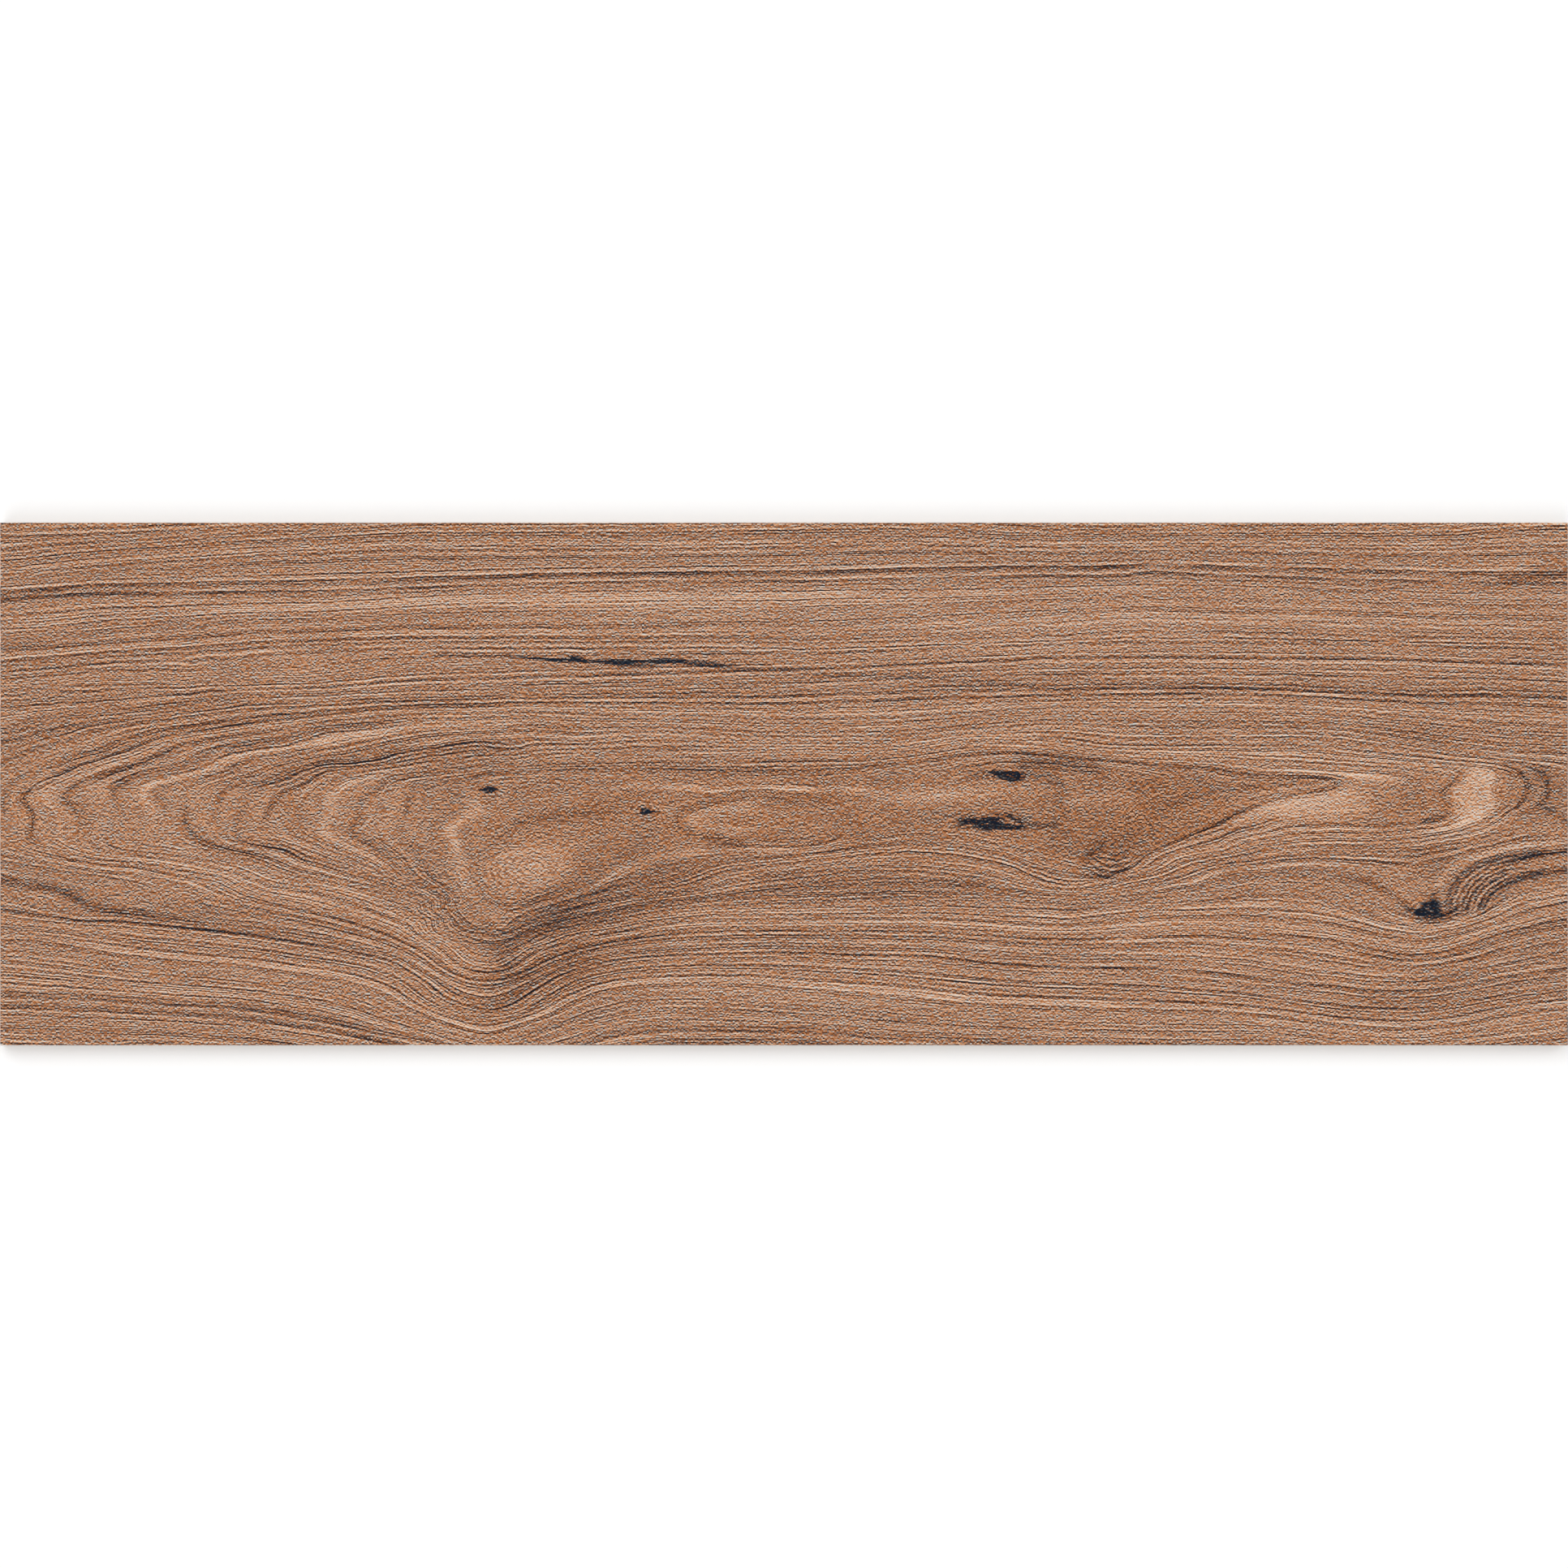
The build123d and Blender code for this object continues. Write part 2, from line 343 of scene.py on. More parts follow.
# Name, middle, radii, tilt, shade and warmth
PATCHES = (
    Patch("slate_band", (1170, 702), (420, 20), 0, 0, -0.13),
    Patch("slate_band_left", (500, 705), (420, 22), 2, 0, -0.05),
    Patch("pale_band", (850, 746), (300, 16), 0, 0.07, -0.06),
    Patch("pale_band_right", (1350, 770), (250, 22), 0, 0.06, -0.05),
    Patch("upper_pale_far", (1100, 797), (330, 8), 0, 0.04, 0),
    Patch("mid_right_pale", (1480, 878), (350, 9), 0, 0.03, 0),
    Patch("mid_right_dark", (1750, 902), (150, 14), -4, -0.05, 0),
    Patch("brown_left", (170, 886), (120, 18), 10, 0, 0.12),
    Patch("left_pale_rim", (55, 975), (18, 25), 0, 0.06, 0),
    Patch("lobe_pale", (116, 970), (22, 14), -30, 0.05, 0),
    Patch("arch_field", (230, 985), (220, 70), 0, 0.03, 0),
    Patch("wedge_area", (470, 1010), (60, 45), -45, 0.04, 0),
    Patch("rust_heart", (1020, 1005), (460, 70), 0, -0.05, 0.13),
    Patch("streak_between_knots", (1150, 981), (75, 9), 3, 0.14, -0.05),
    Patch("heart_dark_right", (1430, 965), (60, 16), 0, -0.05, 0),
    Patch("rust_heart_right", (1430, 1000), (110, 42), 10, -0.06, 0.18),
    Patch("burl_dark", (1378, 1042), (42, 24), 20, -0.08, -0.05),
    Patch("burl_left_dark", (1308, 1035), (20, 28), 0, -0.06, 0),
    Patch("slate_valley", (715, 1160), (130, 60), 35, -0.14, 0.05),
    Patch("valley_slate_rise", (690, 1122), (55, 26), 28, -0.06, -0.12),
    Patch("valley_pale_right", (745, 1155), (50, 22), 20, 0.05, 0),
    Patch("valley_core", (632, 1192), (24, 34), 0, -0.09, -0.10),
    Patch("rust_valley", (578, 1186), (20, 36), 0, 0.02, 0.20),
    Patch("rust_valley_top", (618, 1126), (22, 18), 0, 0, 0.10),
    Patch("brown_band", (1025, 1095), (190, 26), 0, -0.05, -0.03),
    Patch("low_band_dark", (965, 1160), (120, 18), 0, -0.03, 0),
    Patch("pale_low_band", (1015, 1220), (210, 14), 0, 0.04, -0.03),
    Patch("pale_right", (1550, 1175), (170, 30), -4, 0.04, 0.08),
    Patch("rose_right", (1640, 1180), (60, 16), 0, 0.03, 0),
    Patch("brown_right", (1800, 1225), (110, 26), 5, -0.04, -0.04),
    Patch("slate_left", (270, 1140), (190, 26), -12, -0.02, -0.03),
    Patch("pale_left", (225, 1080), (130, 18), -5, 0.04, -0.07),
    Patch("pale_left_low", (325, 1190), (90, 12), -6, 0.02, -0.05),
    Patch("dark_left_low", (390, 1253), (70, 14), -10, -0.03, -0.10),
    Patch("knot_right_pale", (1722, 1096), (26, 14), -20, 0.04, 0.10),
    Patch("above_knot_dark", (1762, 1058), (28, 26), 0, -0.08, 0),
    Patch("right_brown", (1742, 985), (40, 22), 0, -0.05, 0.14),
    Patch("right_end_dark", (1900, 965), (45, 35), 0, -0.07, -0.05),
    Patch("corner_pale", (1865, 700), (28, 10), 15, 0.08, 0.10),
    Patch("corner_rust", (1835, 690), (45, 14), 0, 0.02, 0.15),
    Patch("eye_slate", (655, 1070), (38, 19), 15, 0.10, -0.08),
)

# Name, middle, radii, tilt and blackness; one below zero lets the brown show again inside a knot
KNOTS = (
    Knot("pin_left", (604, 973), (8, 4), 0, 1.0),
    Knot("pin_left_spike", (600, 972.8), (10, 1.5), 0, 0.8),
    Knot("pin_left_spot", (602, 973), (1.6, 1.2), 0, -0.6),
    Knot("pin_right", (796, 1000), (7, 3.8), 0, 1.0),
    Knot("pin_right_spike", (803, 1000), (9, 1.3), 0, 0.8),
    Knot("pin_right_spot", (794, 999.6), (1.6, 1.3), 0, -0.6),
    Knot("upper_knot_brow", (1240, 952.5), (18, 2.2), -2, 1.0),
    Knot("upper_knot", (1245, 957.5), (14, 5.2), -6, 1.0),
    Knot("upper_knot_left", (1228, 954), (8, 2.2), -15, 0.7),
    Knot("upper_knot_spot", (1243, 955.7), (8, 0.9), -8, -0.6),
    Knot("lower_knot", (1218, 1015), (15, 7.5), 5, 1.0),
    Knot("lower_knot_foot", (1240, 1018.8), (18, 3.4), -3, 1.0),
    Knot("lower_knot_left", (1194, 1012), (11, 3), 8, 0.6),
    Knot("lower_knot_brow", (1249, 1008), (13, 1.6), -32, 0.6),
    Knot("lower_knot_spot", (1214, 1015), (8, 0.9), 12, -0.6),
    Knot("lower_knot_seam", (1243, 1018), (10, 0.7), -3, -0.5),
    Knot("right_knot", (1763, 1117), (12, 7), 0, 1.0),
    Knot("right_knot_foot", (1762, 1125), (15, 4), 0, 0.9),
    Knot("right_knot_left", (1750, 1124), (6, 4), 0, 0.9),
    Knot("right_knot_spot", (1762, 1122), (6, 1.2), -30, -0.6),
    Knot("crack_start", (664, 811.5), (24, 1.3), -3, 0.8),
    Knot("crack_left", (690, 813), (22, 1.9), 0, 1.0),
    Knot("crack_bulge", (711, 812), (9, 3.2), -12, 1.0),
    Knot("crack_thread", (745, 814.8), (50, 1.8), 0, 1.0),
    Knot("crack_middle", (757, 815.5), (20, 3.2), -2, 1.0),
    Knot("crack_link", (795, 814.3), (25, 1.2), 0, 0.9),
    Knot("crack_right", (820, 814.3), (22, 3.0), 0, 1.0),
    Knot("crack_fade", (862, 817), (36, 2.8), -4, 0.55),
    Knot("crack_smudge", (785, 819.5), (24, 3.5), 0, 0.4),
    Knot("crack_tail", (885, 821.5), (44, 1.3), -3, 0.5),
)

# Name, middle, squash, pitch, then the middle, radii and tilt of the place where it shows, and depth
SWIRLS = (
    Swirl("right_knot_swirl", (1880, 1125), 0.77, 7.0, (1830, 1088), (62, 32), 32, 0.20),
    Swirl("eye_rings", (658, 1068), 0.6, 8.5, (632, 1076), (62, 44), 20, 0.07),
    Swirl("burl_swirl", (1372, 1022), 1.1, 6.5, (1370, 1064), (40, 22), 8, 0.17),
    Swirl("pin_right_rings", (798, 1000), 0.6, 6.0, (795, 1000), (30, 18), 0, 0.10),
    Swirl("upper_knot_rings", (1240, 956), 0.45, 7.0, (1236, 957), (42, 20), 0, 0.09),
    Swirl("lower_knot_rings", (1224, 1014), 0.4, 8.0, (1222, 1011), (55, 20), 0, 0.09),
)


def linear(code: str) -> tuple[float, float, float, float]:
    """Turns an sRGB hex colour into linear light.

    Args:
        code: the colour, such as "#A86A45".

    Returns:
        Red, green, blue and full alpha.
    """
    shares = [int(code[i:i + 2], 16) / 255 for i in (1, 3, 5)]
    light = [s / 12.92 if s <= 0.04045 else ((s + 0.055) / 1.055) ** 2.4 for s in shares]
    return light[0], light[1], light[2], 1.0


def add(tree: bpy.types.NodeTree, kind: str, links: Optional[dict[Any, Any]] = None, out: Any = 0,
        **settings: Any) -> Any:
    """Adds one node with its settings and links.

    Args:
        tree: the node tree that gets the node.
        kind: the node's type.
        links: what goes into each input, by its name or number: a socket to link or a value to set.
        out: name or number of the output that is wanted.
        settings: the node's own settings.

    Returns:
        That output socket, or None from a node that has no outputs.
    """
    made = tree.nodes.new(kind)
    for key, value in settings.items():
        setattr(made, key, value)
    for socket, value in (links or {}).items():
        if isinstance(value, bpy.types.NodeSocket):
            tree.links.new(value, made.inputs[socket])
        else:
            made.inputs[socket].default_value = value
    return made.outputs[out] if made.outputs else None


def new_material(name: str) -> bpy.types.Material:
    """Makes an empty node material.

    Args:
        name: the material's name.

    Returns:
        The material, with no nodes in its tree.
    """
    material = bpy.data.materials.new(name)
    material.use_nodes = True
    material.node_tree.nodes.clear()
    return material


def paint(ramp: Any, places: tuple[float, ...], codes: tuple[str, ...]) -> None:
    """Gives a colour ramp its stops.

    Args:
        ramp: an output socket of the ramp's node.
        places: where each stop stands, from 0 to 1.
        codes: the hex colour at each stop.
    """
    stops = ramp.node.color_ramp.elements
    while len(stops) < len(places):
        stops.new(1.0)
    for stop, place, code in zip(stops, places, codes):
        stop.position = place
        stop.color = linear(code)


@dataclass(frozen=True)
class WoodFigure:
    """The printed wood: growth rings traced on the photograph, and what is drawn along and between them."""

    length: float  # metres of tile that the photograph's width shows
    ring_step: float = 60.0  # longest stretch of a traced ring, in pixels, with no point of its own
    flatten: float = 3.0  # how much stiffer the rings are along the tile than across it
    slack: float = 0.002  # how freely the ring surface may miss a traced point
    unit: float = 100.0  # pixels that count as 1 while the plate is bent, which keeps its numbers small
    batch: int = 4000  # places worked out at a time, which spares memory
    fewest_rings: float = 0.01  # least rings in a pixel that a spread is worked out for
    taper: float = 40.0  # pixels over which a long line fades out at its ends
    long_line: float = 160.0  # pixels from which a line counts as long

    @property
    def pixel_mm(self) -> float:
        """Millimetres of tile in one pixel of the photograph."""
        return self.length / MM / PHOTO_SIDE

    def pixels(self, x: np.ndarray, y: np.ndarray) -> tuple[np.ndarray, np.ndarray]:
        """Turns places on the tile, in metres from its middle, into pixels of the photograph."""
        scale = PHOTO_SIDE / self.length
        return PHOTO_SIDE / 2 + x * scale, PHOTO_SIDE / 2 - y * scale

    def _ring_points(self) -> tuple[np.ndarray, np.ndarray]:
        """Fills in the traced rings.

        Returns:
            Points along all of the traced rings, in pixels, and the ring number at each.
        """
        numbers: dict[Point, float] = {}
        for line in GRAIN_LINES:
            numbers[line.points[0]] = line.ring
            for (ax, ay), (bx, by) in zip(line.points, line.points[1:]):
                parts = max(1, round(math.hypot(bx - ax, by - ay) / self.ring_step))
                for part in range(1, parts + 1):
                    share = part / parts
                    numbers[(ax + (bx - ax) * share, ay + (by - ay) * share)] = line.ring
        return np.array(list(numbers)), np.array(list(numbers.values()))

    def _squeeze(self, px: np.ndarray, py: np.ndarray) -> np.ndarray:
        """Brings pixels near 1 and shrinks them along the tile, so that the rings are stiffer that way."""
        middle = PHOTO_SIDE / 2
        return np.stack([(px - middle) / (self.unit * self.flatten), (py - middle) / self.unit], axis=-1)

    @staticmethod
    def _plate(gaps: np.ndarray) -> np.ndarray:
        """The bending of a thin plate about a point, for squared distances from it."""
        return gaps * np.log(np.maximum(gaps, np.finfo(float).tiny))

    def rings(self, px: np.ndarray, py: np.ndarray) -> np.ndarray:
        """Bends a thin plate through the traced rings.

        Args:
            px: places along the photograph, in pixels.
            py: places down the photograph, in pixels.

        Returns:
            The ring number at each place.
        """
        points, numbers = self._ring_points()
        held = self._squeeze(points[:, 0], points[:, 1])
        count = len(held)
        gaps = ((held[:, None] - held[None]) ** 2).sum(axis=-1)
        system = np.zeros((count + 3, count + 3))
        system[:count, :count] = self._plate(gaps) + self.slack * np.eye(count)
        system[:count, count] = system[count, :count] = 1
        system[:count, count + 1:] = held
        system[count + 1:, :count] = held.T
        weights = np.linalg.solve(system, np.concatenate([numbers, np.zeros(3)]))
        wanted = self._squeeze(px, py)
        found = np.empty(len(wanted))
        for start in range(0, len(wanted), self.batch):
            some = wanted[start:start + self.batch]
            gaps = ((some[:, None] - held[None]) ** 2).sum(axis=-1)
            bent = self._plate(gaps) @ weights[:count]
            found[start:start + self.batch] = bent + weights[count] + some @ weights[count + 1:]
        return found

    def _along(self, px: np.ndarray, py: np.ndarray, points: tuple[Point, ...],
               half_width: float) -> np.ndarray:
        """How strongly a soft line covers each place; a long one fades out at its ends.

        Args:
            px: places along the photograph, in pixels.
            py: places down the photograph, in pixels.
            points: the line's corners.
            half_width: how far from the line its cover has dropped to a third.

        Returns:
            The cover, from 0 to 1.
        """
        nearest = np.full(px.shape, np.inf)
        way = np.zeros(px.shape)
        start = 0.0
        for (ax, ay), (bx, by) in zip(points, points[1:]):
            reach = math.hypot(bx - ax, by - ay)
            share = np.clip(((px - ax) * (bx - ax) + (py - ay) * (by - ay)) / reach ** 2, 0, 1)
            gap = (px - ax - share * (bx - ax)) ** 2 + (py - ay - share * (by - ay)) ** 2
            closer = gap < nearest
            nearest = np.where(closer, gap, nearest)
            way = np.where(closer, start + share * reach, way)
            start += reach
        cover = np.exp(-nearest / half_width ** 2)
        if start < self.long_line:
            return cover
        fade = np.clip(np.minimum(way, start - way) / self.taper, 0, 1)
        at_edge = (px < self.taper) | (px > PHOTO_SIDE - self.taper)
        return cover * np.where(at_edge, 1, fade)

    @staticmethod
    def _within(px: np.ndarray, py: np.ndarray, middle: Point, radii: Pair, tilt: float) -> np.ndarray:
        """Measures how far places are from the middle of a tilted oval.

        Args:
            px: places along the photograph, in pixels.
            py: places down the photograph, in pixels.
            middle: the oval's middle, in pixels.
            radii: its radii, in pixels.
            tilt: its tilt, in degrees.

        Returns:
            The distance of each place in radii of the oval, squared.
        """
        turn = math.radians(tilt)
        right = px - middle[0]
        up = middle[1] - py
        long_way = (right * math.cos(turn) + up * math.sin(turn)) / radii[0]
        short_way = (up * math.cos(turn) - right * math.sin(turn)) / radii[1]
        return long_way ** 2 + short_way ** 2

    def layers(self, x: np.ndarray, y: np.ndarray) -> dict[Layer, np.ndarray]:
        """Works out the figure at places on the tile.

        Args:
            x: places along the tile, in metres from its middle.
            y: places across the tile, in metres from its middle.

        Returns:
            A value for each place, for each layer.
        """
        px, py = self.pixels(x, y)
        ring = self.rings(px, py)
        step = 1.0
        right = self.rings(px + step, py) - ring
        down = self.rings(px, py + step) - ring
        slope = np.hypot(right, down) / step
        drawn = np.zeros(len(px))
        shade = np.zeros(len(px))
        warmth = np.zeros(len(px))
        for line in GRAIN_LINES:
            if line.shade:
                drawn += line.shade * self._along(px, py, line.points, line.half_width)
        for stroke in STROKES:
            cover = self._along(px, py, stroke.points, stroke.half_width)
            shade += stroke.shade * cover
            warmth += stroke.warmth * cover
        for patch in PATCHES:
            cover = np.exp(-self._within(px, py, patch.middle, patch.radii, patch.tilt))
            shade += patch.shade * cover
            warmth += patch.warmth * cover
        return {
            Layer.RING: ring,
            Layer.SPREAD: self.pixel_mm / np.maximum(slope, self.fewest_rings),
            Layer.LINE: drawn,
            Layer.SHADE: shade,
            Layer.WARMTH: warmth,
        }

    def sunk(self, x: np.ndarray, y: np.ndarray) -> np.ndarray:
        """Finds where the black knots and the crack are pressed in.

        Args:
            x: places along the tile, in metres from its middle.
            y: places across the tile, in metres from its middle.

        Returns:
            How deep each place lies below the face, from 0 to 1.
        """
        px, py = self.pixels(x, y)
        depth = np.zeros(len(px))
        for knot in KNOTS:
            inside = np.exp(-self._within(px, py, knot.middle, knot.radii, knot.tilt) ** 2)
            depth = np.maximum(depth, knot.blackness * inside)
        return depth


@dataclass(frozen=True)
class RingPattern:
    """Streaks that follow the growth rings."""

    per_ring: float  # streaks across one ring
    along_mm: float  # length of one streak
    lightness: float  # how much it swings the ink from dark to pale
    warmth: float  # how much it swings the ink from slate to rust
    bold: float  # how much stronger it makes the fibres on it


@dataclass(frozen=True)
class PrintedGlaze:
    """Satin-matt glaze over an inkjet print of sawn, weathered wood.

    The glaze is a thin glassy coat full of fine crystals, so the face has no mirror image, only a dull sheen
    at low angles. The inks lie under it as coarse specks, which run together into grain lines.
    """

    name: str = "satin_matt_printed_glaze"
    roughness: float = 0.55
    ior: float = 1.5
    specular: float = 0.06
    mean_lightness: float = 0.52
    mean_warmth: float = 0.92
    # The inks from darkest to palest, on the slate side and on the rust side, and how light each one is
    lightness: tuple[float, ...] = (0.06, 0.24, 0.40, 0.56, 0.73, 1.00)
    slate: tuple[str, ...] = ("#061627", "#353E45", "#676360", "#968980", "#BCB2A8", "#D8D7D1")
    rust: tuple[str, ...] = ("#1A1416", "#593620", "#98572A", "#BE7D4F", "#DAA883", "#F0CEB1")
    # From one fibre to the next, everywhere on the face; coarser than in wood, so that they show
    fibre_mm: float = 0.45
    fibre_lightness: float = 1.05
    fibre_limit: float = 0.16  # keeps the strongest fibres close to the others
    fibre_spread_mm: Pair = (3.5, 8.0)  # what counts as a narrow and as a wide ring for the fibres
    fibre_clear: Pair = (1.0, 0.2)  # how clear they are in narrow and in wide rings
    late_per_ring: float = 1.5  # how often the dark lines of late wood may come in one ring
    late_band: Pair = (0.52, 0.68)  # which chance numbers turn to late wood, from its edge to its middle
    late_lightness: float = -0.08
    late_spread_mm: Pair = (3.0, 8.0)  # it fades out from narrow rings to wide ones
    bands_apart: float = 31.7  # how far apart two kinds of streaks lie in the same chance pattern
    bands: tuple[RingPattern, ...] = (
        RingPattern(per_ring=2.0, along_mm=22, lightness=0.06, warmth=0.30, bold=3.0),
        RingPattern(per_ring=0.3, along_mm=260, lightness=0.06, warmth=0.25, bold=1.0),
    )
    # A little coarser than in the photograph, so that they show in the render; a printed dot is under 0.1 mm
    speck_mm: Pair = (0.70, 0.53)
    speck_sway_mm: float = 2.0  # how far the rows of specks wander up and down
    speck_contrast: float = 0.7  # how far a speck stands out from those above and below it
    speck_lightness: float = 0.55
    speck_warmth: float = 2.4
    speck_drift: float = -0.7  # below zero, because a paler speck is greyer
    core_rings: float = 0.11  # half the width of the crisp middle of a traced ring
    core_spread_mm: Pair = (3.0, 7.0)  # what counts as a narrow and as a wide ring for the traced lines
    core_gain: Pair = (1.0, 0.2)  # how strongly the crisp middle is printed in narrow and in wide rings
    soft_gain: Pair = (0.4, 1.05)  # how strongly the soft line around it is printed there
    wobble_mm: float = 9.0  # length of the small waves in the rings
    wobble_rings: float = 0.35  # and their height
    ragged_mm: Pair = (2.4, 0.8)  # how far a knot's rim is torn along and across the grain
    ragged_stretch: float = 4.0  # how much longer its rags are along the grain
    knot_rim: Pair = (1.5, 0.55)  # where a knot's black begins and where it is full, in its radii
    knot_lightness: float = -0.50  # what the blackest ink of a knot does to the print under it
    knot_warmth: float = -0.80
    swirl_rim: Pair = (1.1, 0.4)  # where a swirl begins and where it is full, in radii of its place
    swirl_waves_per_mm: float = 0.35  # how many small waves its lines have in a millimetre
    swirl_wobble: float = 0.9  # and their height, in pitches

    def material(self, figure: WoodFigure) -> bpy.types.Material:
        """Mixes the print and its glaze.

        Args:
            figure: the wood figure, for the places of its knots.

        Returns:
            The material for the tile's face.
        """
        material = new_material(self.name)
        tree = material.node_tree
        metres = add(tree, "ShaderNodeTexCoord", out="Object")
        place = add(tree, "ShaderNodeVectorMath", {0: metres, 1: (1 / MM, 1 / MM, 0)}, operation="MULTIPLY")
        lightness, warmth = self._patterns(tree, place)
        swing = self._swirls(tree, place, figure)
        lightness = add(tree, "ShaderNodeMath", {0: lightness, 1: swing}, operation="ADD")
        black = self._knots(tree, place, figure)
        lightness = add(tree, "ShaderNodeMath", {0: black, 1: self.knot_lightness, 2: lightness},
                        operation="MULTIPLY_ADD")
        warmth = add(tree, "ShaderNodeMath", {0: black, 1: self.knot_warmth, 2: warmth},
                     operation="MULTIPLY_ADD")
        slate = add(tree, "ShaderNodeValToRGB", {0: lightness})
        paint(slate, self.lightness, self.slate)
        rust = add(tree, "ShaderNodeValToRGB", {0: lightness})
        paint(rust, self.lightness, self.rust)
        ink = add(tree, "ShaderNodeMix", {0: warmth, 6: slate, 7: rust}, out=2, data_type="RGBA")
        shader = add(tree, "ShaderNodeBsdfPrincipled", {
            "Base Color": ink, "Roughness": self.roughness, "IOR": self.ior,
            "Specular IOR Level": self.specular})
        add(tree, "ShaderNodeOutputMaterial", {"Surface": shader})
        return material

    def _patterns(self, tree: bpy.types.NodeTree, place: Any) -> tuple[Any, Any]:
        """Adds up the clouds, the bands, the traced lines, the late wood, the fibres and the specks.

        Args:
            tree: the material's nodes.
            place: where a point is on the tile, in millimetres.

        Returns:
            The ink's lightness, and its warmth from slate at 0 to rust at 1.
        """
        layer = {kind: add(tree, "ShaderNodeAttribute", out="Fac", attribute_name=kind.value)
                 for kind in Layer}
        spread = layer[Layer.SPREAD]
        stir = add(tree, "ShaderNodeVectorMath", {0: place, "Scale": 1 / self.wobble_mm}, operation="SCALE")
        stir = add(tree, "ShaderNodeTexNoise", {"Vector": stir, "Scale": 1.0, "Detail": 1.0})
        stir = add(tree, "ShaderNodeMath", {0: stir, 1: 0.5}, operation="SUBTRACT")
        ring = add(tree, "ShaderNodeMath", {0: stir, 1: self.wobble_rings, 2: layer[Layer.RING]},
                   operation="MULTIPLY_ADD")
        sums = [layer[Layer.SHADE], layer[Layer.WARMTH], 1.0]
        for number, mean in enumerate((self.mean_lightness, self.mean_warmth)):
            sums[number] = add(tree, "ShaderNodeMath", {0: sums[number], 1: mean}, operation="ADD")
        lightness, warmth, bold = self._bands(tree, place, ring, sums)
        gain = self._traced(tree, ring, spread)
        late = self._late_wood(tree, ring, spread)
        lines = add(tree, "ShaderNodeMath", {0: layer[Layer.LINE], 1: gain, 2: late},
                    operation="MULTIPLY_ADD")
        fibre = self._fibres(tree, ring, spread)
        lines = add(tree, "ShaderNodeMath", {0: fibre, 1: self.fibre_lightness, 2: lines},
                    operation="MULTIPLY_ADD")
        lightness = add(tree, "ShaderNodeMath", {0: lines, 1: bold, 2: lightness}, operation="MULTIPLY_ADD")
        light, warm = self._specks(tree, place, stir)
        lightness = add(tree, "ShaderNodeMath", {0: light, 1: self.speck_lightness, 2: lightness},
                        operation="MULTIPLY_ADD")
        for chance, share in ((warm, self.speck_warmth), (light, self.speck_drift)):
            warmth = add(tree, "ShaderNodeMath", {0: chance, 1: share, 2: warmth}, operation="MULTIPLY_ADD")
        return lightness, warmth

    def _bands(self, tree: bpy.types.NodeTree, place: Any, ring: Any, sums: list[Any]) -> list[Any]:
        """Draws the streaks that follow the rings.

        Args:
            tree: the material's nodes.
            place: where a point is on the tile, in millimetres.
            ring: the ring's number.
            sums: the ink's lightness and warmth, and the strength of its lines, so far.

        Returns:
            The three with the streaks added.
        """
        for number, streak in enumerate(self.bands):
            along = add(tree, "ShaderNodeVectorMath", {0: place, "Scale": 1 / streak.along_mm},
                        operation="SCALE")
            turn = add(tree, "ShaderNodeMath", {0: ring, 1: streak.per_ring, 2: self.bands_apart * number},
                       operation="MULTIPLY_ADD")
            lift = add(tree, "ShaderNodeCombineXYZ", {2: turn})
            spot = add(tree, "ShaderNodeVectorMath", {0: along, 1: lift}, operation="ADD")
            noise = add(tree, "ShaderNodeTexNoise", {"Vector": spot, "Scale": 1.0, "Detail": 0.0})
            swing = add(tree, "ShaderNodeMath", {0: noise, 1: 0.5}, operation="SUBTRACT")
            shares = (streak.lightness, streak.warmth, streak.bold)
            sums = [add(tree, "ShaderNodeMath", {0: swing, 1: share, 2: total}, operation="MULTIPLY_ADD")
                    for share, total in zip(shares, sums)]
        return sums

    def _traced(self, tree: bpy.types.NodeTree, ring: Any, spread: Any) -> Any:
        """Gives each traced ring a crisp middle, mostly where the rings are narrow.

        Args:
            tree: the material's nodes.
            ring: the ring's number.
            spread: millimetres from one ring to the next.

        Returns:
            How strongly the shade of the traced rings is printed at a point.
        """
        core: Any = 0.0
        for number in sorted({line.ring for line in GRAIN_LINES if line.shade}):
            on_line = add(tree, "ShaderNodeMath", {0: ring, 1: number, 2: self.core_rings},
                          operation="COMPARE")
            core = add(tree, "ShaderNodeMath", {0: on_line, 1: core}, operation="ADD")
        narrow, wide = self.core_spread_mm
        crisp, soft = [
            add(tree, "ShaderNodeMapRange", {
                "Value": spread, "From Min": narrow, "From Max": wide, "To Min": gain[0], "To Max": gain[1]})
            for gain in (self.core_gain, self.soft_gain)]
        return add(tree, "ShaderNodeMath", {0: core, 1: crisp, 2: soft}, operation="MULTIPLY_ADD")

    def _late_wood(self, tree: bpy.types.NodeTree, ring: Any, spread: Any) -> Any:
        """Draws the dark late wood between the traced rings, where the rings are narrow.

        Args:
            tree: the material's nodes.
            ring: the ring's number.
            spread: millimetres from one ring to the next.

        Returns:
            How much darker it makes a point.
        """
        turn = add(tree, "ShaderNodeMath", {0: ring, 1: self.late_per_ring}, operation="MULTIPLY")
        late = add(tree, "ShaderNodeTexNoise", {"W": turn, "Scale": 1.0, "Detail": 0.0},
                   noise_dimensions="1D")
        edge, middle = self.late_band
        late = add(tree, "ShaderNodeMapRange", {
            "Value": late, "From Min": edge, "From Max": middle, "To Max": self.late_lightness})
        narrow, wide = self.late_spread_mm
        seen = add(tree, "ShaderNodeMapRange", {
            "Value": spread, "From Min": narrow, "From Max": wide, "To Min": 1.0, "To Max": 0.0})
        return add(tree, "ShaderNodeMath", {0: late, 1: seen}, operation="MULTIPLY")

